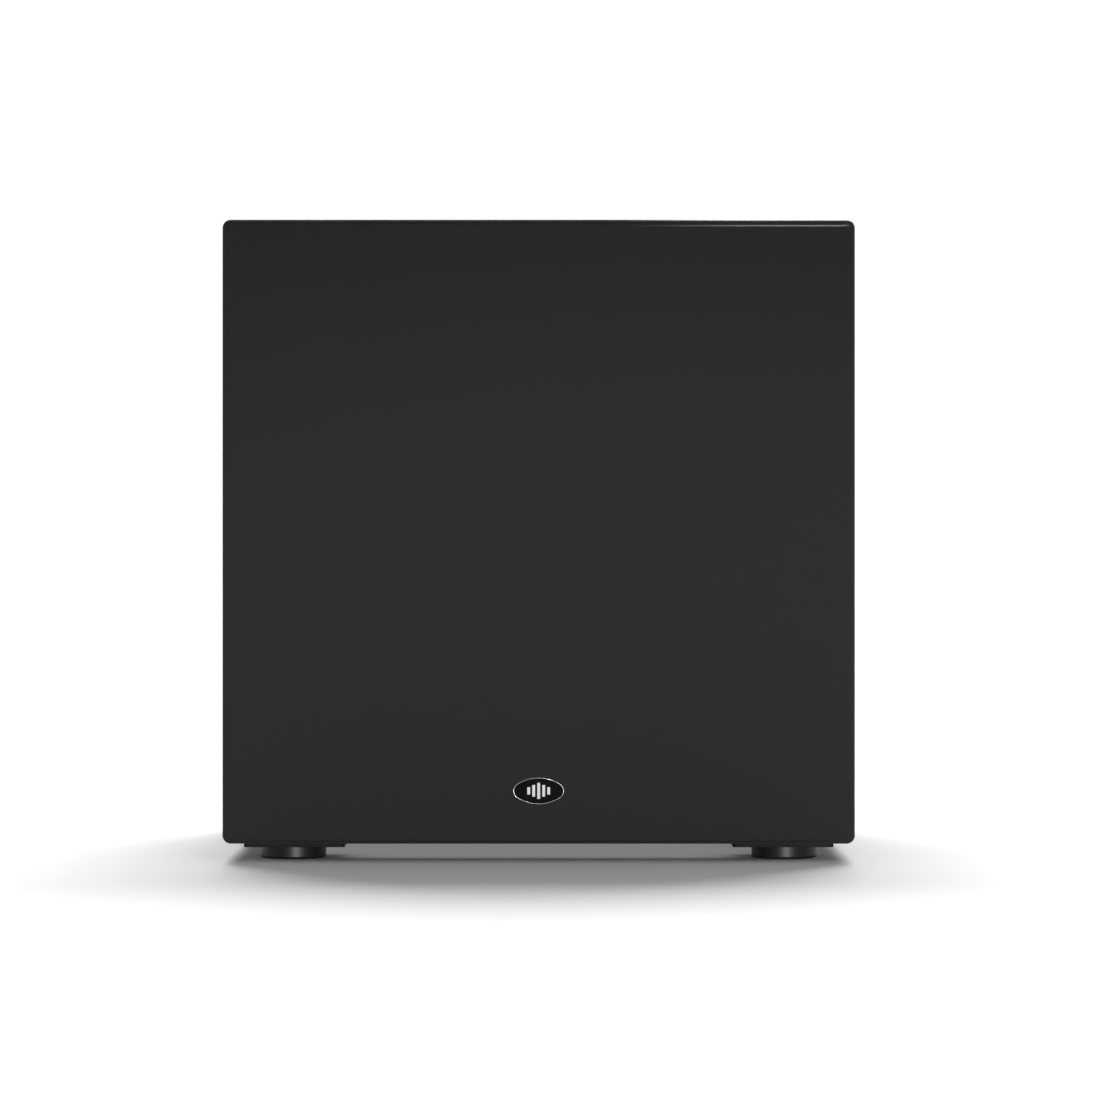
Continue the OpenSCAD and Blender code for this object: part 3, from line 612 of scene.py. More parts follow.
def powder_coat(name, dark, light, roughness, pitch=1300, depth=0.00008, gloss=0.45):
    """Paint baked from powder: a fine even orange peel, with small sparkle in its gloss"""
    made, tree = finish_of(name, light, roughness, specular=gloss)
    place = object_place(tree)
    peel = cells(tree, place, float(pitch))["Distance"]
    return feed(made, peel, depth, 0.6, Base_Color=blended(tree, noise(tree, place, 22, 3.0), dark, light),
                Roughness=between(tree, peel, roughness + 0.1, roughness - 0.06))


put_on(rubber("foot_rubber", (0.0025, 0.0021, 0.0021), (0.006, 0.0053, 0.0052), 0.42, gloss=0.3),
       "rubber_feet")
put_on(powder_coat("foot_plate_paint", (0.0025, 0.0025, 0.0025), (0.005, 0.0049, 0.0047), 0.6, gloss=0.12),
       "foot_plates")
foot_low, foot_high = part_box("rubber_feet")
foot_seat = foot_low.z + (foot_high.z - foot_low.z) / 2
foot_screw = pan_head(radius=0.0045, height=0.0028, shaft_r=0.0021, shaft_l=0.016)
screws("foot_screws_fitted", "foot_screws", foot_screw, zinc,
       [(p.x, p.y, foot_seat) for p in islands("foot_screws")], (0, 0, -1), 3)


# ---- Woofer basket and motor ----
# A pressed steel basket, powder coated black, drops into the baffle's rebate under a moulded trim ring.
# Behind it a zinc-plated top plate and yoke sit either side of a dark ferrite ring. The terminals are tinned
# brass.

def ferrite_grey():
    made, tree = finish_of("ferrite_grey", (0.045, 0.045, 0.050), 0.5, specular=0.6)
    place = object_place(tree)
    grit = noise(tree, place, 900, 5.0, 0.7)
    return feed(made, grit, 0.00006, 0.6,
                Base_Color=ramp(tree, grit, [(0.3, (0.030, 0.030, 0.034)), (0.7, (0.085, 0.084, 0.088))]),
                Roughness=between(tree, cells(tree, place, 90.0)["Distance"], 0.36, 0.62))


def drawn_metal(name, tone, roughness, scale, stretch=(1, 1, 1)):
    """Metal with fine drawn or turned lines along the axis that stretch leaves short"""
    return grained(name, tone, roughness, ([0.7 * c for c in tone], tone), (scale, 3.0, 0.6),
                   (roughness - 0.08, roughness + 0.12), 0.00003, stretch=stretch, metallic=1.0)


def moulded(name, dark, light, roughness, pitch=1500.0, depth=0.00005):
    """Plastic from an etched mould: a fine even grain and slight flow marks"""
    made, tree = finish_of(name, light, roughness, specular=0.45)
    place = object_place(tree)
    grain = noise(tree, place, pitch, 2.0, 0.55)
    return feed(made, grain, depth, 0.7,
                Base_Color=blended(tree, noise(tree, place, 30, 3.0, 0.5, 1.0), dark, light),
                Roughness=between(tree, grain, roughness - 0.07, roughness + 0.09))


put_on(powder_coat("basket_coat", (0.016, 0.016, 0.017), (0.036, 0.036, 0.037), 0.5, 1100, 0.0001),
       "woofer_basket")
put_on(zinc, "top_plate", "pole_yoke", "threaded_inserts")
put_on(ferrite_grey(), "magnet_ring")
put_on(drawn_metal("tinned_brass", (0.72, 0.56, 0.28), 0.3, 260), "woofer_terminals")
put_on(moulded("trim_grain", (0.016, 0.016, 0.016), (0.032, 0.0315, 0.031), 0.5, 1100.0, 0.00009),
       "woofer_trim_ring")

wood_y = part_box("front_baffle")[0].y
trim_low, trim_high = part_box("woofer_trim_ring")
woofer_x = (trim_low.x + trim_high.x) / 2
woofer_z = (trim_low.z + trim_high.z) / 2
seat_y = wood_y + 0.0034
screw_circle_r = 0.145


def round_pattern(count, radius, y, turn, x=woofer_x, z=woofer_z):
    """Points round a circle that faces along Y"""
    return [(x + radius * math.cos(a), y, z + radius * math.sin(a)) for a in
            [math.radians(turn) + 2 * math.pi * i / count for i in range(count)]]


woofer_screw = socket_head(radius=0.0044, height=0.0032, shaft_r=0.0025, shaft_l=0.0202)
screws("woofer_screws_fitted", "woofer_screws", woofer_screw, oxide,
       round_pattern(8, screw_circle_r, seat_y, 22.5), (0, -1, 0), 5)


# ---- Voice coil and former ----
# An amber film tube that carries a tight layer of enamelled copper wire. The wire's turns show as fine rings
# round the coil, and the film has a slight gloss.

def wound_copper():
    made, tree = finish_of("wound_copper", (0.62, 0.28, 0.12), 0.28, metallic=1.0)
    turns = bands_of(tree, object_place(tree), 700.0, "Y", Distortion=0.0)
    return feed(made, turns, 0.00015, 0.8,
                Base_Color=ramp(tree, turns, [(0.0, (0.30, 0.11, 0.04)), (0.6, (0.72, 0.34, 0.15))]))


put_on(wound_copper(), "voice_coil")
put_on(grained("amber_film", (0.55, 0.30, 0.09), 0.25, [(0.3, (0.42, 0.21, 0.05)), (0.7, (0.62, 0.36, 0.12))],
               (120, 4.0), (0.2, 0.36), specular=0.5), "coil_former")


# ---- Cone, dust cap, surround and spider ----
# The cone and cap are pressed pulp with a dull black sealing coat. A butyl half roll joins the cone to the
# basket, and a corrugated, resin-dipped cotton spider centres the coil. Each is a skin turned to a rule.

SEGMENTS = 160


def turned_skin(name, rule, rings, thick, finish, **sizes):
    """A skin round the woofer's axis: rule gives its radius and height at a share of the way outwards"""
    tree, given = tree_of(name, Segments=SEGMENTS, Rings=rings, Front=wood_y, Middle_X=woofer_x,
                          Middle_Z=woofer_z, **sizes)
    grid = add(tree, "GeometryNodeMeshGrid", Size_X=1.0, Size_Y=1.0,
               Vertices_X=plus(tree, given["Segments"], 1.0), Vertices_Y=given["Rings"])
    flat = split(tree, tree.nodes.new("GeometryNodeInputPosition").outputs[0])
    angle = times(tree, flat["X"], 2 * math.pi)
    radius, height = rule(tree, given, plus(tree, flat["Y"], 0.5))
    across = plus(tree, given["Middle_X"], times(tree, radius, cosine(tree, angle)))
    up = plus(tree, given["Middle_Z"], times(tree, radius, sine(tree, angle)))
    place = joined(tree, X=across, Y=minus(tree, given["Front"], height), Z=up)
    bent = add(tree, "GeometryNodeSetPosition", Geometry=grid.outputs["Mesh"], Position=place)
    welded = add(tree, "GeometryNodeMergeByDistance", Geometry=bent.outputs["Geometry"], Distance=0.00001)
    piece = grown(name, ended(tree, welded.outputs["Geometry"], finish), bpy.data.meshes.new(name))
    mesh = piece.data
    if sum(face.normal.y * face.area for face in mesh.polygons) > 0:
        mesh.flip_normals()
    wall = piece.modifiers.new("wall", "SOLIDIFY")
    wall.thickness = thick
    wall.offset = -1
    thickened = plain_mesh(piece)
    piece.modifiers.remove(wall)
    piece.data = thickened
    thickened.shade_smooth()
    return piece


def straight(tree, given, share):
    return plus(tree, given["Inner"], times(tree, share, minus(tree, given["Outer"], given["Inner"])))


def cone_rule(tree, given, share):
    """A flaring cone with three faint pressed ribs near its edge"""
    sweep = times(tree, given["Rise"], sums(tree, "POWER", share, given["Flare"]))
    ribs = sums(tree, "MAXIMUM", sine(tree, times(tree, share, 138.0)), 0.0)
    near_edge = between(tree, share, 0.0, 1.0, 0.62, 0.66)
    off_lip = between(tree, share, 1.0, 0.0, 0.90, 0.93)
    ribbed = times(tree, times(tree, ribs, near_edge), off_lip)
    height = plus(tree, plus(tree, given["Low"], sweep), times(tree, ribbed, given["Rib"]))
    return straight(tree, given, share), height


def dome_rule(tree, given, share):
    """A shallow dome with its height at the middle"""
    drop = times(tree, given["Rise"], sums(tree, "POWER", share, 2.05))
    return straight(tree, given, share), minus(tree, given["Top"], drop)


def roll_rule(tree, given, share):
    """A flat lip, a half circle and another flat lip"""
    lip = 0.12
    along = between(tree, share, 0.0, math.pi, lip, 1 - lip)
    middle = times(tree, 0.5, plus(tree, given["Inner"], given["Outer"]))
    roll = times(tree, 0.5, minus(tree, given["Outer"], given["Inner"]))
    lips = minus(tree, share, between(tree, share, lip, 1 - lip, lip, 1 - lip))
    reach = times(tree, lips, sums(tree, "DIVIDE", given["Lip"], lip))
    radius = plus(tree, minus(tree, middle, times(tree, roll, cosine(tree, along))), reach)
    height = plus(tree, given["Low"], times(tree, roll, sine(tree, along)))
    return radius, height


def wave_rule(tree, given, share):
    """A flat sheet with round corrugations, flat again at its glued edge"""
    wave = cosine(tree, times(tree, share, times(tree, given["Waves"], 2 * math.pi)))
    fade = between(tree, share, 1.0, 0.0, 0.72, 0.75)
    lift = times(tree, times(tree, minus(tree, 1.0, wave), fade), given["Depth"])
    return straight(tree, given, share), plus(tree, given["Low"], lift)


def sealed_pulp():
    made, tree = finish_of("sealed_pulp", (0.022, 0.022, 0.0215), 0.62, specular=0.35)
    place = object_place(tree)
    fibres = noise(tree, place, 380, 6.0, 0.72, 2.5)
    return feed(made, fibres, 0.00022, 0.7,
                Base_Color=ramp(tree, fibres, [(0.32, (0.012, 0.012, 0.012)), (0.68, (0.040, 0.039, 0.037))]),
                Roughness=between(tree, noise(tree, place, 26, 3.0), 0.52, 0.7))


def resin_cotton():
    made, tree = finish_of("resin_cotton", (0.60, 0.38, 0.10), 0.6, specular=0.3)
    place = object_place(tree)
    weave = times(tree, *[bands_of(tree, place, 420.0, direction, Distortion=0.4) for direction in "XZ"])
    return feed(made, weave, 0.0003, 0.8,
                Base_Color=ramp(tree, weave, [(0.05, (0.30, 0.17, 0.035)), (0.5, (0.68, 0.45, 0.14))]))


def flexing(piece, node, inner, outer):
    """Rides with the cone at its inner edge and stays on the basket at its outer edge"""
    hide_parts(node)
    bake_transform(piece, "cabinet", "cone_unit", start=(0, wood_y + 0.1, woofer_z),
             end=(0, wood_y - 0.1, woofer_z))
    mesh = piece.data
    share = mesh.attributes["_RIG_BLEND"].data
    for i, corner in enumerate(mesh.vertices):
        radius = math.hypot(corner.co.x - woofer_x, corner.co.z - woofer_z)
        along = min(1.0, max(0.0, (outer - radius) / (outer - inner)))
        share[i].value = along * along * (3 - 2 * along)


pulp = sealed_pulp()
cone_low, cone_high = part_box("cone")
cap_low, cap_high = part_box("dust_cap")
cone_r = (cone_high.x - cone_low.x) / 2
cap_r = (cap_high.x - cap_low.x) / 2
neck_r = 0.0262
lip_w = 0.0064
roll_r = 0.1316
spider_in_r = 0.0263
spider_out_r = 0.080
spider_held_r = 0.072

cone = turned_skin("pressed_cone", cone_rule, 96, 0.0012, pulp, Inner=neck_r, Outer=cone_r - 0.006,
                   Low=-0.0527, Rise=0.0487, Flare=0.83, Rib=0.0005)
fitted(cone, "cone_unit", "cone")
cone_edge = turned_skin("cone_edge", lambda tree, given, share: (straight(tree, given, share), given["Low"]),
                        3, 0.001, pulp, Inner=cone_r - lip_w, Outer=cone_r, Low=-0.0034)
fitted(cone_edge, "cone_unit")

cap = turned_skin("domed_cap", dome_rule, 40, 0.001, pulp, Inner=0.0002, Outer=cap_r, Top=wood_y - cap_low.y,
                  Rise=cap_high.y - cap_low.y)
fitted(cap, "cone_unit", "dust_cap")

butyl = rubber("butyl", (0.011, 0.011, 0.011), (0.024, 0.0235, 0.023), 0.5, 0.00003)
roll = turned_skin("half_roll", roll_rule, 64, 0.0012, butyl, Inner=cone_r - 0.0006, Outer=roll_r,
                   Low=-0.0022, Lip=0.0046)
flexing(roll, "surround", cone_r, roll_r)

spider = turned_skin("corrugated_spider", wave_rule, 200, 0.0008, resin_cotton(), Inner=spider_in_r,
                     Outer=spider_out_r, Low=-0.0712, Waves=6.9, Depth=0.0016)
flexing(spider, "spider", spider_in_r, spider_held_r)


# ---- Tinsel leads ----
# Two flat-braided copper leads arch from the terminal strip to the back of the cone, with slack for its
# travel. The braid's crossing strands run round each lead as a fine twill.

def tube_along(name, line, radius, sides=10):
    """A round tube along a list of points, with the distance along it and round it kept as its UV map"""
    made = bmesh.new()
    sheet = made.loops.layers.uv.new("UVMap")
    rings, far = [], [0.0]
    for i, here in enumerate(line):
        ahead = line[min(i + 1, len(line) - 1)] - line[max(i - 1, 0)]
        first = ahead.cross(Vector((0.3, 0.1, 1.0))).normalized()
        second = ahead.cross(first).normalized()
        turns = [2 * math.pi * k / sides for k in range(sides)]
        rounds = [radius * (math.cos(a) * first + math.sin(a) * second) for a in turns]
        rings.append([made.verts.new(here + out) for out in rounds])
        if i:
            far.append(far[-1] + (here - line[i - 1]).length)
    for i in range(len(line) - 1):
        for k in range(sides):
            m = (k + 1) % sides
            face = made.faces.new((rings[i][k], rings[i][m], rings[i + 1][m], rings[i + 1][k]))
            for loop, (u, v) in zip(face.loops, ((k, i), (k + 1, i), (k + 1, i + 1), (k, i + 1))):
                loop[sheet].uv = (2 * math.pi * radius * u / sides, far[v])
    made.faces.new(rings[0])
    made.faces.new(rings[-1])
    bmesh.ops.recalc_face_normals(made, faces=made.faces[:])
    return piece_of(name, mesh_from(made, name, smooth=True))


def copper_braid():
    made, tree = finish_of("copper_braid", (0.70, 0.40, 0.20), 0.34, metallic=1.0)
    flat = add(tree, "ShaderNodeUVMap").outputs["UV"]
    crossing = []
    for turn in (0.8, -0.8):
        leaning = add(tree, "ShaderNodeMapping", Vector=flat, Rotation=(0, 0, turn))
        crossing.append(bands_of(tree, leaning.outputs["Vector"], 900.0, "X"))
    twill = sums(tree, "MAXIMUM", *crossing)
    return feed(made, twill, 0.0002, 0.8,
                Base_Color=ramp(tree, twill, [(0.2, (0.25, 0.11, 0.04)), (0.8, (0.80, 0.48, 0.26))]))


braid = copper_braid()
lead_steps = 24
lead_r = 0.0009
lead_gap = 0.007
for side, turn in (("left", -1), ("right", 1)):
    route = []
    for t in [step / lead_steps for step in range(lead_steps + 1)]:
        height = -0.059 + 0.0282 * t ** 1.7
        route.append(Vector((woofer_x + turn * lead_gap, wood_y - height, woofer_z - 0.0846 + 0.024 * t)))
    lead = tube_along("tinsel_lead_" + side, route, lead_r)
    lead.data.materials.append(braid)
    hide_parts("tinsel_leads")
    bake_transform(lead, "cabinet", "cone_unit", start=route[0], end=route[-1])


# ---- Bass port ----
# A spiral-wound card tube glued between two moulded flares, one outside the rear board and one inside the
# cabinet. Four black pan head screws hold the outer flare, and the card shows the edges of its winding.

def round_about(tree, place, middle):
    """The angle of a place round an axis along Y through middle"""
    apart = split(tree, place)
    return sums(tree, "ARCTAN2", minus(tree, apart["Z"], middle.z), minus(tree, apart["X"], middle.x))


def wound_card():
    made, tree = finish_of("wound_card", (0.030, 0.029, 0.028), 0.7, specular=0.3)
    place = object_place(tree)
    lap = 0.042
    low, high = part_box("port_tube")
    turn = round_about(tree, place, (low + high) / 2)
    along = sums(tree, "DIVIDE", split(tree, place)["Y"], lap)
    along = plus(tree, along, sums(tree, "DIVIDE", turn, 2 * math.pi))
    ridge = between(tree, sums(tree, "PINGPONG", along, 0.5), 0.0, 1.0, 0.0, 0.03)
    fibres = noise(tree, place, 500, 4.0, 0.65)
    tone = ramp(tree, fibres, [(0.3, (0.020, 0.0195, 0.019)), (0.7, (0.050, 0.048, 0.045))])
    return feed(made, plus(tree, ridge, times(tree, fibres, 0.2)), 0.0004, 0.8,
                Base_Color=blended(tree, ridge, (0.008, 0.008, 0.008), tone))


put_on(moulded("flare_plastic", (0.015, 0.015, 0.0155), (0.030, 0.030, 0.0305), 0.42, 1300.0, 0.00006),
       "port_flare", "port_inner_flare")
put_on(wound_card(), "port_tube")
rear_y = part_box("rear_board")[1].y
flare_low, flare_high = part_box("port_flare")
port_z = (flare_low.z + flare_high.z) / 2
flare_t = 0.003
flare_screw_r = 0.052
port_screw = pan_head(radius=0.0037, height=0.0022, shaft_r=0.0017, shaft_l=0.016)
port_x = (flare_low.x + flare_high.x) / 2
screws("port_screws_fitted", "port_screws", port_screw, oxide,
       round_pattern(4, flare_screw_r, rear_y + flare_t, 45, port_x, port_z), (0, 1, 0), 9)


# ---- Amplifier inside: cover, heatsink, boards, transformer and wires ----
# A folded galvanised box closes the amplifier off from the cabinet. Inside are an extruded heatsink, two
# green boards with copper tracks, a taped ring transformer, sleeved capacitors and red PVC wires.

def galvanised():
    made, tree = finish_of("galvanised", (0.58, 0.60, 0.61), 0.4, metallic=1.0)
    place = object_place(tree)
    leaf = split(tree, cells(tree, place, 75.0)["Color"])
    return feed(made, noise(tree, place, 500, 3.0), 0.00003, 0.4,
                Base_Color=blended(tree, leaf["X"], (0.46, 0.48, 0.49), (0.68, 0.70, 0.71)),
                Roughness=between(tree, leaf["Y"], 0.28, 0.52))


def circuit_green():
    made, tree = finish_of("circuit_green", (0.03, 0.16, 0.06), 0.3, specular=0.5)
    place = object_place(tree)
    runs = [bands_of(tree, place, 26.0, direction, Distortion=9.0, Detail=1.0) for direction in "XZ"]
    copper = sums(tree, "MAXIMUM", *[ramp(tree, run, [(0.72, 0.0), (0.76, 1.0)]) for run in runs])
    masked = blended(tree, copper, (0.012, 0.085, 0.030), (0.035, 0.19, 0.075))
    pads = between(tree, cells(tree, place, 150.0)["Distance"], 1.0, 0.0, 0.13, 0.16)
    return feed(made, copper, 0.00008, 0.7, Base_Color=blended(tree, pads, masked, (0.62, 0.62, 0.60)))


def taped_winding():
    made, tree = finish_of("taped_winding", (0.70, 0.52, 0.07), 0.3, specular=0.5)
    place = object_place(tree)
    laps = 34
    low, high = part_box("transformer")
    turn = round_about(tree, place, (low + high) / 2)
    lap = sums(tree, "FRACT", times(tree, turn, laps / (2 * math.pi)))
    wrinkle = noise(tree, place, 260, 3.0, 0.6, 0.8)
    tape = [(0.0, (0.36, 0.24, 0.02)), (0.12, (0.74, 0.56, 0.09)), (1.0, (0.60, 0.43, 0.05))]
    return feed(made, plus(tree, lap, times(tree, wrinkle, 0.4)), 0.0003, 0.8,
                Base_Color=ramp(tree, lap, tape), Roughness=between(tree, wrinkle, 0.2, 0.45))


def shrink_sleeve(name, tone, stripe, pitch, axis="X"):
    """Thin glossy sleeve or insulation with a printed stripe"""
    made, tree = finish_of(name, tone, 0.28, specular=0.5)
    place = object_place(tree)
    printed = ramp(tree, bands_of(tree, place, pitch, axis), [(0.90, 0.0), (0.93, 1.0)])
    wrinkle = noise(tree, place, 300, 3.0)
    return feed(made, wrinkle, 0.00005, 0.5, Base_Color=blended(tree, printed, tone, stripe),
                Roughness=between(tree, wrinkle, 0.22, 0.4))


def gasket_foam():
    made, tree = finish_of("gasket_foam", (0.030, 0.030, 0.031), 0.9, specular=0.15)
    pores = cells(tree, object_place(tree), 1200.0)["Distance"]
    return feed(made, pores, 0.0003, 0.8,
                Base_Color=ramp(tree, pores, [(0.1, (0.014, 0.014, 0.014)), (0.6, (0.045, 0.045, 0.046))]))


put_on(galvanised(), "amp_cover")
put_on(drawn_metal("drawn_fins", (0.72, 0.73, 0.74), 0.36, 420, (1, 1, 0.05)), "heatsink")
put_on(circuit_green(), "circuit_boards")
put_on(taped_winding(), "transformer")
put_on(shrink_sleeve("capacitor_sleeve", (0.020, 0.035, 0.11), (0.45, 0.47, 0.50), 10.0), "capacitors")
put_on(shrink_sleeve("red_insulation", (0.42, 0.018, 0.014), (0.36, 0.015, 0.012), 40.0, "Y"),
       "internal_wiring")
put_on(gasket_foam(), "amp_gasket")


# ---- Amplifier plate ----
# A 3 mm steel plate in a fine textured black powder coat, screwed over its gasket by ten black pan heads. The
# scales round its two knobs are printed in white, each tick set by a geometry tree, with plain numbers.

put_on(powder_coat("plate_paint", (0.009, 0.009, 0.0095), (0.019, 0.019, 0.0195), 0.55, 950, 0.00014),
       "amp_plate")
plate_low, plate_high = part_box("amp_plate")
plate_y = plate_high.y
plate_z = (plate_low.z + plate_high.z) / 2
plate_screw = pan_head(radius=0.0036, height=0.0022, shaft_r=0.0016, shaft_l=0.017)
screws("amp_screws_fitted", "amp_screws", plate_screw, oxide,
       [(p.x, plate_y, p.z) for p in islands("amp_screws")], (0, 1, 0), 12)


def tick_tree(finish):
    """Ticks on an arc round a dial that faces along Y, every fifth one longer"""
    tree, given = tree_of("dial_ticks", Ticks=11, Sweep=5.236, Radius=0.0142, Tick=0.0014, Extra=0.0010,
                          Width=0.00045, Ink=0.00008)
    row = add(tree, "GeometryNodeMeshLine", Count=given["Ticks"])
    number = tree.nodes.new("GeometryNodeInputIndex").outputs[0]
    last = minus(tree, given["Ticks"], 1.0)
    share = minus(tree, sums(tree, "DIVIDE", number, last), 0.5)
    turn = times(tree, share, given["Sweep"])
    long_one = sums(tree, "LESS_THAN", sums(tree, "MODULO", number, 5.0), 0.5)
    tall = plus(tree, given["Tick"], times(tree, long_one, given["Extra"]))
    reach = plus(tree, given["Radius"], times(tree, tall, 0.5))
    spot = joined(tree, X=times(tree, reach, sine(tree, turn)), Z=times(tree, reach, cosine(tree, turn)))
    placed = add(tree, "GeometryNodeSetPosition", Geometry=row.outputs["Mesh"], Position=spot)
    one = add(tree, "GeometryNodeMeshCube", Size=(1, 1, 1))
    set_out = add(tree, "GeometryNodeInstanceOnPoints", Points=placed.outputs["Geometry"],
                  Instance=one.outputs["Mesh"], Rotation=joined(tree, Y=turn),
                  Scale=joined(tree, X=given["Width"], Y=given["Ink"], Z=tall))
    return ended(tree, set_out.outputs["Instances"], finish)


def printed_number(name, words, x, z, tall):
    """A plain number printed on the plate, read from behind"""
    letters = bpy.data.curves.new(name, "FONT")
    letters.body = words
    letters.size = tall
    letters.align_x = "CENTER"
    letters.align_y = "CENTER"
    letters.extrude = print_t
    shape = piece_of(name, letters)
    mesh = plain_mesh(shape)
    bpy.data.objects.remove(shape)
    upright = Matrix.Rotation(math.pi, 4, "Z") @ Matrix.Rotation(math.pi / 2, 4, "X")
    mesh.transform(Matrix.Translation((x, plate_y, z)) @ upright)
    mesh.materials.clear()
    mesh.materials.append(ink)
    return piece_of(name, mesh)


ink = grained("printed_ink", (0.72, 0.72, 0.70), 0.6, ((0.55, 0.55, 0.53), (0.80, 0.80, 0.78)),
              (1300, 4.0, 0.7), (0.5, 0.7), specular=0.3)
print_t = 0.00003
dial_number_r = 0.0195
dial_number_h = 0.0042
small_number_h = 0.0036
ticks = tick_tree(ink)
knob_spots = {}
prints = []
for knob, numbers in (("level", ("0", "5", "10")), ("crossover", ("40", "80", "150"))):
    low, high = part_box(knob + "_knob")
    knob_spots[knob] = (low + high) / 2
    x, z = knob_spots[knob].x, knob_spots[knob].z
    scale_marks = grown(knob + "_scale", ticks, bpy.data.meshes.new(knob + "_scale"))
    scale_marks.data.transform(Matrix.Translation((x, plate_y, z)))
    prints.append(scale_marks)
    for number, turn in zip(numbers, (-150, 0, 150)):
        angle = math.radians(turn)
        prints.append(printed_number(knob + "_number_" + number, number, x - dial_number_r * math.sin(angle),
                                     z + dial_number_r * math.cos(angle), dial_number_h))
for node, left, right in (("phase_slider", "180", "0"), ("mode_slider", "2", "1")):
    low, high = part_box(node)
    for number, shift in ((left, 0.0085), (right, -0.0105)):
        prints.append(printed_number(node + "_number_" + number, number, (low.x + high.x) / 2 + shift,
                                     (low.z + high.z) / 2 + 0.0075, small_number_h))
for number, x in (("1", 0.090), ("2", 0.065), ("3", 0.040)):
    prints.append(printed_number("input_number_" + number, number, x, plate_z + 0.0155, small_number_h))
for piece in prints:
    fitted(piece, "cabinet")


# ---- Knobs, switches, sockets and lamp ----
# Push-on knobs in soft-touch black with a white line, over nickel pots; two slide switches with pale buttons;
# gold-plated sockets with coloured inserts; and a green lens for the status lamp.

def socket_inserts():
    """White, red and violet inserts, told apart by where each stands along the row"""
    made, tree = finish_of("socket_inserts", (0.6, 0.02, 0.02), 0.35, specular=0.5)
    place = object_place(tree)
    low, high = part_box("rca_insulators")
    tone = (0.10, 0.02, 0.20)
    along = between(tree, split(tree, place)["X"], 0.0, 1.0, low.x, high.x)
    for share, next_tone in ((0.33, (0.50, 0.012, 0.012)), (0.67, (0.75, 0.75, 0.72))):
        tone = blended(tree, sums(tree, "GREATER_THAN", along, share), tone, next_tone)
    return feed(made, noise(tree, place, 900, 3.0), 0.00003, 0.4, Base_Color=tone)


def green_lens():
    made = grained("green_lens", (0.04, 0.42, 0.10), 0.12, ((0.02, 0.30, 0.06), (0.07, 0.52, 0.15)),
                   (400, 3.0), (0.08, 0.2), specular=0.6)
    return feed(made, Transmission_Weight=0.35)


soft_touch = rubber("soft_touch", (0.016, 0.016, 0.0165), (0.030, 0.030, 0.031), 0.55, 0.00004, 0.4)
nickel = drawn_metal("nickel_plate", (0.66, 0.65, 0.62), 0.24, 500)
put_on(soft_touch, "level_knob", "crossover_knob")
put_on(nickel, "control_pots", "slide_switches")
put_on(moulded("button_plastic", (0.62, 0.62, 0.59), (0.76, 0.76, 0.73), 0.4, 1500.0, 0.00003),
       "phase_slider", "mode_slider")
put_on(drawn_metal("gold_flash", (0.83, 0.62, 0.26), 0.2, 600), "rca_shells")
put_on(socket_inserts(), "rca_insulators")
put_on(green_lens(), "status_led")
pointer_size = (0.0009, 0.0003, 0.0038, 1)
pointer_out = 0.0070
for knob in ("level", "crossover"):
    top_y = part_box(knob + "_knob")[1].y - 0.0005
    made = bmesh.new()
    bmesh.ops.create_cube(made, size=1.0)
    at = Matrix.Translation((knob_spots[knob].x, top_y, knob_spots[knob].z + pointer_out))
    made.transform(at @ Matrix.Diagonal(pointer_size))
    line = mesh_from(made, knob + "_pointer")
    line.materials.append(ink)
    fitted(piece_of(knob + "_pointer", line), knob + "_control")


# ---- Rocker switch and mains inlet ----
# A gloss black rocker in a snap-in bezel, with its line and ring marks moulded in white. The inlet is one
# moulding with three nickel blades and a drawer below that holds a glass fuse.

def glass_fuse():
    """Clear glass between two plated caps, which stand a little proud of it"""
    made, tree = finish_of("glass_fuse", (0.85, 0.88, 0.87), 0.08, specular=0.5)
    place = object_place(tree)
    apart = split(tree, place)
    low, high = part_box("mains_fuse")
    middle = (low + high) / 2
    glass_r = 0.00245
    squares = []
    for axis, centre in (("X", middle.x), ("Z", middle.z)):
        off = minus(tree, apart[axis], centre)
        squares.append(times(tree, off, off))
    cap = sums(tree, "GREATER_THAN", sums(tree, "POWER", plus(tree, *squares), 0.5), glass_r)
    return feed(made, Base_Color=blended(tree, cap, (0.80, 0.84, 0.83), (0.72, 0.72, 0.70)), Metallic=cap,
                Transmission_Weight=times(tree, minus(tree, 1.0, cap), 0.6),
                Roughness=between(tree, noise(tree, place, 900, 3.0), 0.05, 0.2))


inlet_plastic = moulded("inlet_plastic", (0.014, 0.014, 0.014), (0.026, 0.026, 0.026), 0.38, 1600.0, 0.00003)
put_on(moulded("rocker_gloss", (0.012, 0.012, 0.012), (0.020, 0.020, 0.020), 0.18, 900.0, 0.00001),
       "power_rocker")
put_on(inlet_plastic, "rocker_housing", "iec_inlet", "fuse_drawer")
put_on(nickel, "iec_pins")
put_on(glass_fuse(), "mains_fuse")

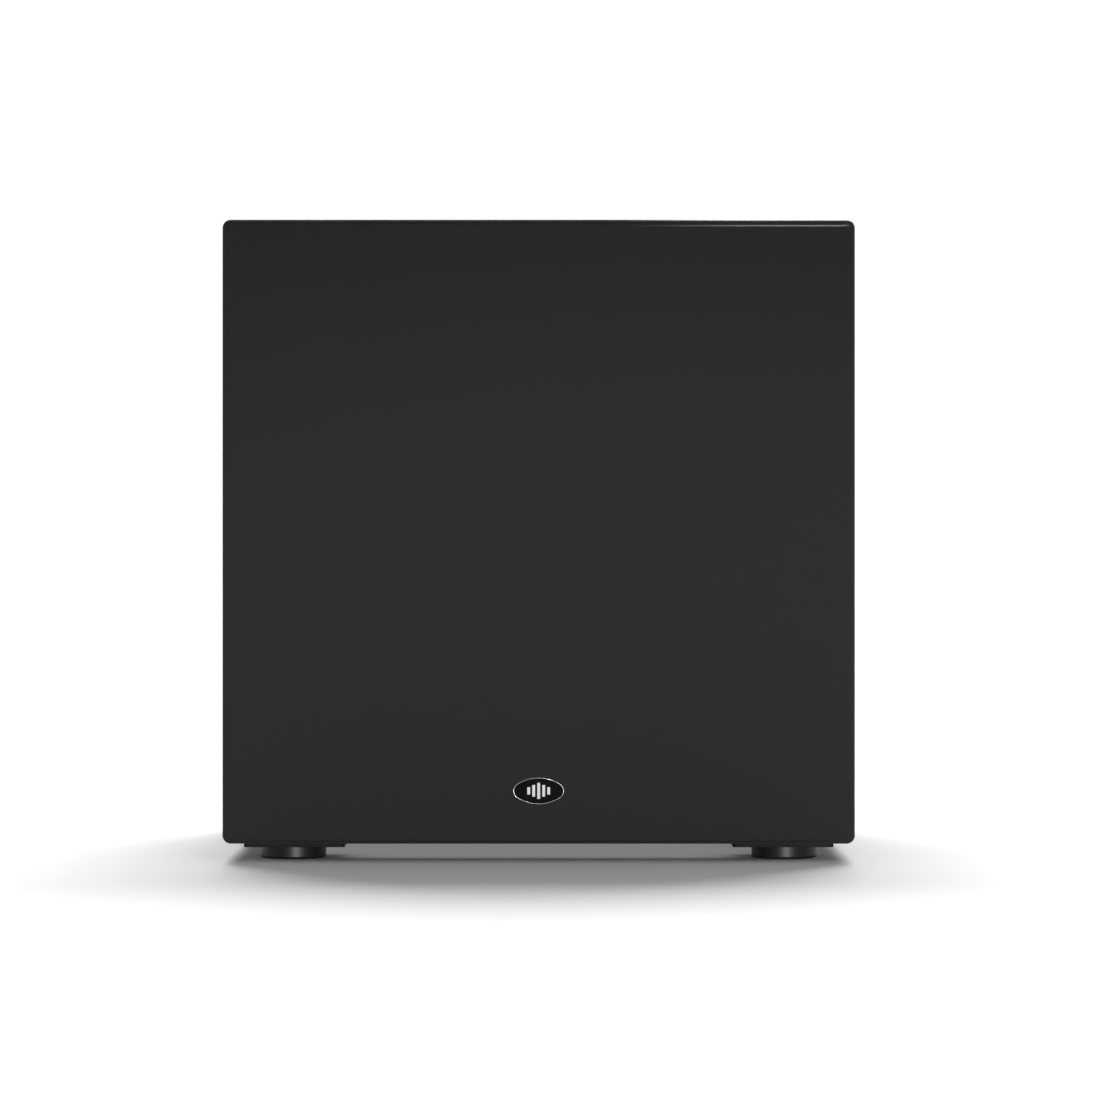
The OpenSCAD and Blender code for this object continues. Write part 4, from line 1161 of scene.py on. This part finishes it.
rocker_low, rocker_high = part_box("rocker_housing")
pivot = Vector(((rocker_low.x + rocker_high.x) / 2, plate_y - 0.002, (rocker_low.z + rocker_high.z) / 2))
tilt = math.radians(9)
ring_outline = [(0.0014, print_t), (0.0019, print_t), (0.0019, -print_t), (0.0014, -print_t)]
mark_out = 0.006
crown = 0.0044
half_slope = 0.0025 / 0.014
for name, side in (("mark_on", 1), ("mark_off", -1)):
    if side > 0:
        mesh = boxes(name, [(0.0005, 0.0038, -print_t, print_t, 1.0)])
    else:
        mesh = turned(name, ring_outline, 40)
    on_rocker = Matrix.Translation((0, side * mark_out, crown + mark_out * half_slope))
    on_rocker = on_rocker @ Matrix.Rotation(side * math.atan(half_slope), 4, "X")
    to_plate = Matrix(((-1, 0, 0, pivot.x), (0, 0, 1, pivot.y), (0, 1, 0, pivot.z), (0, 0, 0, 1)))
    mesh.transform(to_plate @ Matrix.Rotation(tilt, 4, "X") @ on_rocker)
    mesh.materials.clear()
    mesh.materials.append(ink)
    fitted(piece_of("rocker_" + name, mesh), "rocker")


# ---- Grille frame, pegs and sockets ----
# A routed fibreboard frame with a round window, stained black so that it doesn't show through the cloth. Four
# nylon pegs are pressed into its back and push into soft rubber sockets in the baffle.

put_on(painted_board("black_stained_board", (0.009, 0.009, 0.009), (0.034, 0.031, 0.028), 0.85),
       "grille_frame")
put_on(moulded("black_nylon", (0.018, 0.018, 0.018), (0.034, 0.034, 0.033), 0.36, 1800.0, 0.00002),
       "grille_pegs")
put_on(rubber("socket_rubber", (0.018, 0.017, 0.017), (0.036, 0.035, 0.034), 0.62), "peg_cups")


# ---- Grille cloth ----
# One piece of fine black knit, stretched over the frame's front and rounded edges, folded 14 mm onto its back
# with mitred corners, and stapled there. Its rows run level and its columns run upright.

cloth_low, cloth_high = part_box("grille_cloth")
cloth_t = 0.0007
corner_r = 0.005
front_r = 0.004
back_r = 0.002
flap = 0.014
stitch_w = 0.0008
stitch_h = 0.0006
mitre_lift = 0.0004
mitre_w = 0.004
half_w = (cloth_high.x - cloth_low.x) / 2
half_h = (cloth_high.z - cloth_low.z) / 2
cloth_mid = Vector(((cloth_low.x + cloth_high.x) / 2, 0, (cloth_low.z + cloth_high.z) / 2))


def outline(inset, corner):
    """Points round a rounded rectangle, close together near its corners, each with its outward direction"""
    reach_x, reach_z = half_w - inset - corner, half_h - inset - corner
    near = [0.0, 0.0015, 0.003, 0.005, 0.008, 0.012]
    found = []
    for quarter in range(4):
        turn = quarter * math.pi / 2
        a, b = (reach_x, reach_z) if quarter % 2 == 0 else (reach_z, reach_x)
        side = 2 * b
        wide = [near[-1] + (side - 2 * near[-1]) * i / 40 for i in range(1, 40)]
        stops = near + wide + [side - s for s in reversed(near)]
        spots = [(a + corner, s - b, 0.0) for s in stops]
        spots += [(a + corner * math.cos(t), b + corner * math.sin(t), t) for t in
                  [math.pi / 2 * i / 10 for i in range(1, 10)]]
        for x, z, t in spots:
            cos, sin = math.cos(turn), math.sin(turn)
            found.append((Vector((x * cos - z * sin, 0, x * sin + z * cos)),
                          Vector((math.cos(turn + t), 0, math.sin(turn + t)))))
    return found


def section():
    """The cloth's path from the edge of the flat front: inset, distance behind the front, length so far"""
    depth = cloth_high.y - cloth_low.y
    bend = [math.pi / 2 * i / 8 for i in range(9)]
    path = [(front_r * (1 - math.sin(t)), front_r * (1 - math.cos(t)), front_r * t) for t in bend]
    start = path[-1][2]
    side = depth - front_r - back_r
    path += [(0, front_r + side * i / 4, start + side * i / 4) for i in range(1, 5)]
    start = path[-1][2]
    bend = [math.pi / 2 * i / 5 for i in range(1, 6)]
    path += [(back_r * (1 - math.cos(t)), depth - back_r * (1 - math.sin(t)), start + back_r * t)
             for t in bend]
    start = path[-1][2]
    path += [(back_r + (flap - back_r) * i / 6, depth, start + (flap - back_r) * i / 6) for i in range(1, 7)]
    return path


made = bmesh.new()
sheet_uv = made.loops.layers.uv.new("UVMap")
flat_edge = outline(front_r, corner_r - front_r)
rings = []
FRONT_RINGS = 26
centre = made.verts.new((cloth_mid.x, cloth_low.y, cloth_mid.z))
flat_spots = {centre: (0.0, 0.0)}
for step in range(1, FRONT_RINGS):
    share = step / FRONT_RINGS
    ring = []
    for spot, out in flat_edge:
        corner = made.verts.new((cloth_mid.x + spot.x * share, cloth_low.y, cloth_mid.z + spot.z * share))
        flat_spots[corner] = (spot.x * share, spot.z * share)
        ring.append(corner)
    rings.append(ring)
for inset, depth, far in section():
    ring = []
    for (spot, out), (base, away) in zip(outline(inset, max(corner_r - inset, 0.0004)), flat_edge):
        fold = 0.0
        if inset > back_r:
            off_mitre = abs((half_w - abs(spot.x)) - (half_h - abs(spot.z)))
            fold = mitre_lift * max(0.0, 1 - off_mitre / mitre_w) * min(1.0, (inset - back_r) / mitre_w)
        corner = made.verts.new((cloth_mid.x + spot.x, cloth_low.y + depth + fold, cloth_mid.z + spot.z))
        flat_spots[corner] = (base.x + away.x * far, base.z + away.z * far)
        ring.append(corner)
    rings.append(ring)
count = len(flat_edge)
for k in range(count):
    made.faces.new((centre, rings[0][k], rings[0][(k + 1) % count]))
for inner, outer in zip(rings, rings[1:]):
    for k in range(count):
        m = (k + 1) % count
        made.faces.new((inner[k], outer[k], outer[m], inner[m]))
for face in made.faces:
    for loop in face.loops:
        loop[sheet_uv].uv = flat_spots[loop.vert]
bmesh.ops.recalc_face_normals(made, faces=made.faces[:])
front_faces = [face for face in made.faces if abs(face.calc_center_median().y - cloth_low.y) < 1e-5]
if sum(face.normal.y * face.calc_area() for face in front_faces) > 0:
    bmesh.ops.reverse_faces(made, faces=made.faces[:])
cloth = piece_of("grille_knit", mesh_from(made, "grille_knit", smooth=True))


def black_knit():
    """Rows of small V stitches in dull black yarn, with painted shade between them and painted light on their
    tops, and a gloss coat on the top right edge for a painted highlight
    """
    made, tree = finish_of("black_knit", (0.040, 0.0385, 0.0375), 0.82, specular=0.18)
    flat = split(tree, add(tree, "ShaderNodeUVMap").outputs["UV"])
    column = times(tree, flat["X"], 1 / stitch_w)
    row = times(tree, flat["Y"], 1 / stitch_h)
    lean = sums(tree, "PINGPONG", column, 0.5)
    leg = sine(tree, times(tree, lean, 2 * math.pi))
    stitch = sine(tree, times(tree, plus(tree, row, lean), 2 * math.pi))
    yarn = times(tree, between(tree, stitch, 0.45, 1.0, -1.0, 1.0), between(tree, leg, 0.5, 1.0))
    place = object_place(tree)
    fuzz = noise(tree, place, 2200, 3.0, 0.7)
    streaks = noise(tree, object_place(tree, (1, 1, 7)), 60, 4.0, 0.6)
    # Painted shade and light: the first tone darkens the hollows between stitches, the second lightens the
    # stitch tops
    deep, lit_stitch_top = (0.0045, 0.0041, 0.0038), (0.0180, 0.0165, 0.0156)
    tone = blended(tree, between(tree, yarn, 0.0, 1.0, 0.25, 0.95), deep, lit_stitch_top)
    patchy = blended(tree, between(tree, streaks, 0.0, 0.22), tone, (0.0087, 0.0080, 0.0075))
    fuzzy = blended(tree, between(tree, fuzz, 0.0, 0.25), patchy, (0.0188, 0.0172, 0.0163))
    # Painted highlight: a gloss coat only on a thin band along the top edge's right part, placed so that the
    # edge strip lamp draws a thin highlight line there
    spot = split(tree, place)
    upper = between(tree, spot["Z"], 0.0, 0.5, cloth_high.z - 0.0046, cloth_high.z - 0.0038)
    highlight_side = between(tree, spot["X"], 0.0, 1.0, 0.05, 0.12)
    return feed(made, plus(tree, yarn, times(tree, fuzz, 0.5)), 0.00014, 0.8, Base_Color=fuzzy,
                Coat_Weight=times(tree, upper, highlight_side), Coat_Roughness=0.22, Sheen_Weight=0.04,
                Sheen_Roughness=0.4, Sheen_Tint=(0.9, 0.88, 0.86, 1))


cloth.data.materials.append(black_knit())
wall = cloth.modifiers.new("wall", "SOLIDIFY")
wall.thickness = cloth_t
wall.offset = -1
cut_w = 2 * (half_w - front_r + section()[-1][2])
cut_h = 2 * (half_h - front_r + section()[-1][2])
fitted(cloth, "grille", "grille_cloth")


# ---- Staples ----
# Thin wire staples hold the folded cloth to the back of the frame, one every 30 mm or so, set by a geometry
# tree along the middle of the fold.

def staple_tree(finish):
    """Spaces short wires along the starting line, level with it"""
    tree, given = tree_of("staples", Pitch=0.031, Width=0.010, Wire=0.0005)
    line = add(tree, "GeometryNodeMeshToCurve", Mesh=given["Geometry"])
    spaced = add(tree, "GeometryNodeResampleCurve", Curve=line.outputs["Curve"])
    spaced.mode = "LENGTH"
    set_inputs(tree, spaced, Length=given["Pitch"])
    size = joined(tree, X=given["Width"], Y=given["Wire"], Z=given["Wire"])
    wire = add(tree, "GeometryNodeMeshCube", Size=size)
    along = tree.nodes.new("GeometryNodeInputTangent")
    facing = add(tree, "FunctionNodeAlignEulerToVector", Vector=along.outputs["Tangent"])
    facing.axis = "X"
    set_out = add(tree, "GeometryNodeInstanceOnPoints", Points=spaced.outputs["Curve"],
                  Instance=wire.outputs["Mesh"], Rotation=facing.outputs["Rotation"])
    return ended(tree, set_out.outputs["Instances"], finish)


start = bpy.data.meshes.new("staple_line")
mid_flap = 0.009
corner_gap = 0.012
behind = cloth_high.y + 0.0001
far_x, far_z = half_w - mid_flap, half_h - mid_flap
across, tall = far_x - corner_gap, far_z - corner_gap
ends = []
for side in (1, -1):
    ends += [(-across, side * far_z), (across, side * far_z)]
for side in (1, -1):
    ends += [(side * far_x, -tall), (side * far_x, tall)]
start.from_pydata([(cloth_mid.x + x, behind, cloth_mid.z + z) for x, z in ends],
                  [(0, 1), (2, 3), (4, 5), (6, 7)], [])
staples = grown("cloth_staples", staple_tree(zinc), start)
fitted(staples, "grille")


# ---- Badge ----
# A small oval badge near the grille's bottom edge: a gloss black plate in a polished plated rim. Its printed
# mark is a plain row of five level bars in white, set out by a geometry tree.

def bar_tree(finish):
    """A row of bars of falling height from the middle outwards"""
    tree, given = tree_of("level_bars", Bars=5, Pitch=0.0030, Width=0.0017, Tall=0.0096, Fall=0.0026,
                          Ink=0.0001)
    row = add(tree, "GeometryNodeMeshLine", Count=given["Bars"], Offset=joined(tree, X=given["Pitch"]))
    number = tree.nodes.new("GeometryNodeInputIndex")
    last = minus(tree, given["Bars"], 1.0)
    middle = times(tree, last, 0.5)
    away = sums(tree, "ABSOLUTE", minus(tree, number.outputs[0], middle), 0.0)
    tall = minus(tree, given["Tall"], times(tree, away, given["Fall"]))
    one = add(tree, "GeometryNodeMeshCube", Size=(1, 1, 1))
    set_out = add(tree, "GeometryNodeInstanceOnPoints", Points=row.outputs["Mesh"],
                  Instance=one.outputs["Mesh"], Scale=joined(tree, X=given["Width"], Y=given["Ink"], Z=tall))
    real = add(tree, "GeometryNodeRealizeInstances", Geometry=set_out.outputs["Instances"])
    half_row = times(tree, given["Pitch"], middle)
    centred = add(tree, "GeometryNodeSetPosition", Geometry=real.outputs["Geometry"],
                  Offset=joined(tree, X=times(tree, half_row, -1.0)))
    return ended(tree, centred.outputs["Geometry"], finish)


def rim_of(name, low, high, end_r, width, proud):
    """A rim with a rounded section, along a flat oval of four arcs that fills the box in X and Z"""
    a, b = (high.x - low.x) / 2, (high.z - low.z) / 2
    side_r = ((a - end_r) ** 2 + b * b - end_r * end_r) / (2 * (b - end_r))
    swing = math.atan2(a - end_r, side_r - b)
    steps = 36
    line = []
    for centre_x, centre_z, radius, first, last in (
        (a - end_r, 0, end_r, swing - math.pi / 2, math.pi / 2 - swing),
        (0, b - side_r, side_r, math.pi / 2 - swing, math.pi / 2 + swing),
        (end_r - a, 0, end_r, math.pi / 2 + swing, 3 * math.pi / 2 - swing),
        (0, side_r - b, side_r, 3 * math.pi / 2 - swing, 3 * math.pi / 2 + swing),
    ):
        for step in range(steps):
            line.append((centre_x, centre_z, radius, first + (last - first) * step / steps))
    crown = [math.pi * step / 10 for step in range(11)]
    section = [(width / 2 * (1 - math.cos(t)), proud * (0.45 + 0.55 * math.sin(t))) for t in crown]
    section += [(width, 0), (0, 0)]
    middle = (low + high) / 2
    made = bmesh.new()
    rings = []
    for centre_x, centre_z, radius, turn in line:
        ring = []
        for inset, out in section:
            ring.append(made.verts.new((middle.x + centre_x + (radius - inset) * math.cos(turn), high.y - out,
                                        middle.z + centre_z + (radius - inset) * math.sin(turn))))
        rings.append(ring)
    for here, there in zip(rings, rings[1:] + rings[:1]):
        for k in range(len(section)):
            m = (k + 1) % len(section)
            made.faces.new((here[k], here[m], there[m], there[k]))
    bmesh.ops.recalc_face_normals(made, faces=made.faces[:])
    return piece_of(name, mesh_from(made, name, smooth=True))


badge_low, badge_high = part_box("badge_bezel")
rim = rim_of("badge_rim", badge_low, badge_high, end_r=0.005, width=0.0006, proud=badge_high.y - badge_low.y)
polish = grained("polished_plate", (0.80, 0.81, 0.82), 0.12, ((0.70, 0.71, 0.72), (0.86, 0.87, 0.88)),
                 (900, 3.0, 0.6), (0.08, 0.22), 0.00001, 0.3, (1, 1, 6), metallic=1.0)
rim.data.materials.append(polish)
fitted(rim, "grille", "badge_bezel")
put_on(grained("gloss_lacquer", (0.0015, 0.0015, 0.0015), 0.08, None, (120, 2.0), (0.06, 0.12), 0.00002, 0.3,
               specular=0.04), "badge_plate")
printed = grained("white_print", (0.44, 0.44, 0.43), 0.5, ((0.38, 0.38, 0.375), (0.50, 0.50, 0.49)),
                  (1500, 3.0), (0.4, 0.6), specular=0.3)
mark = grown("badge_mark", bar_tree(printed), bpy.data.meshes.new("badge_mark"))
mark.data.transform(Matrix.Translation(((badge_low.x + badge_high.x) / 2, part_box("badge_plate")[0].y,
                                        (badge_low.z + badge_high.z) / 2)))
fitted(mark, "grille")
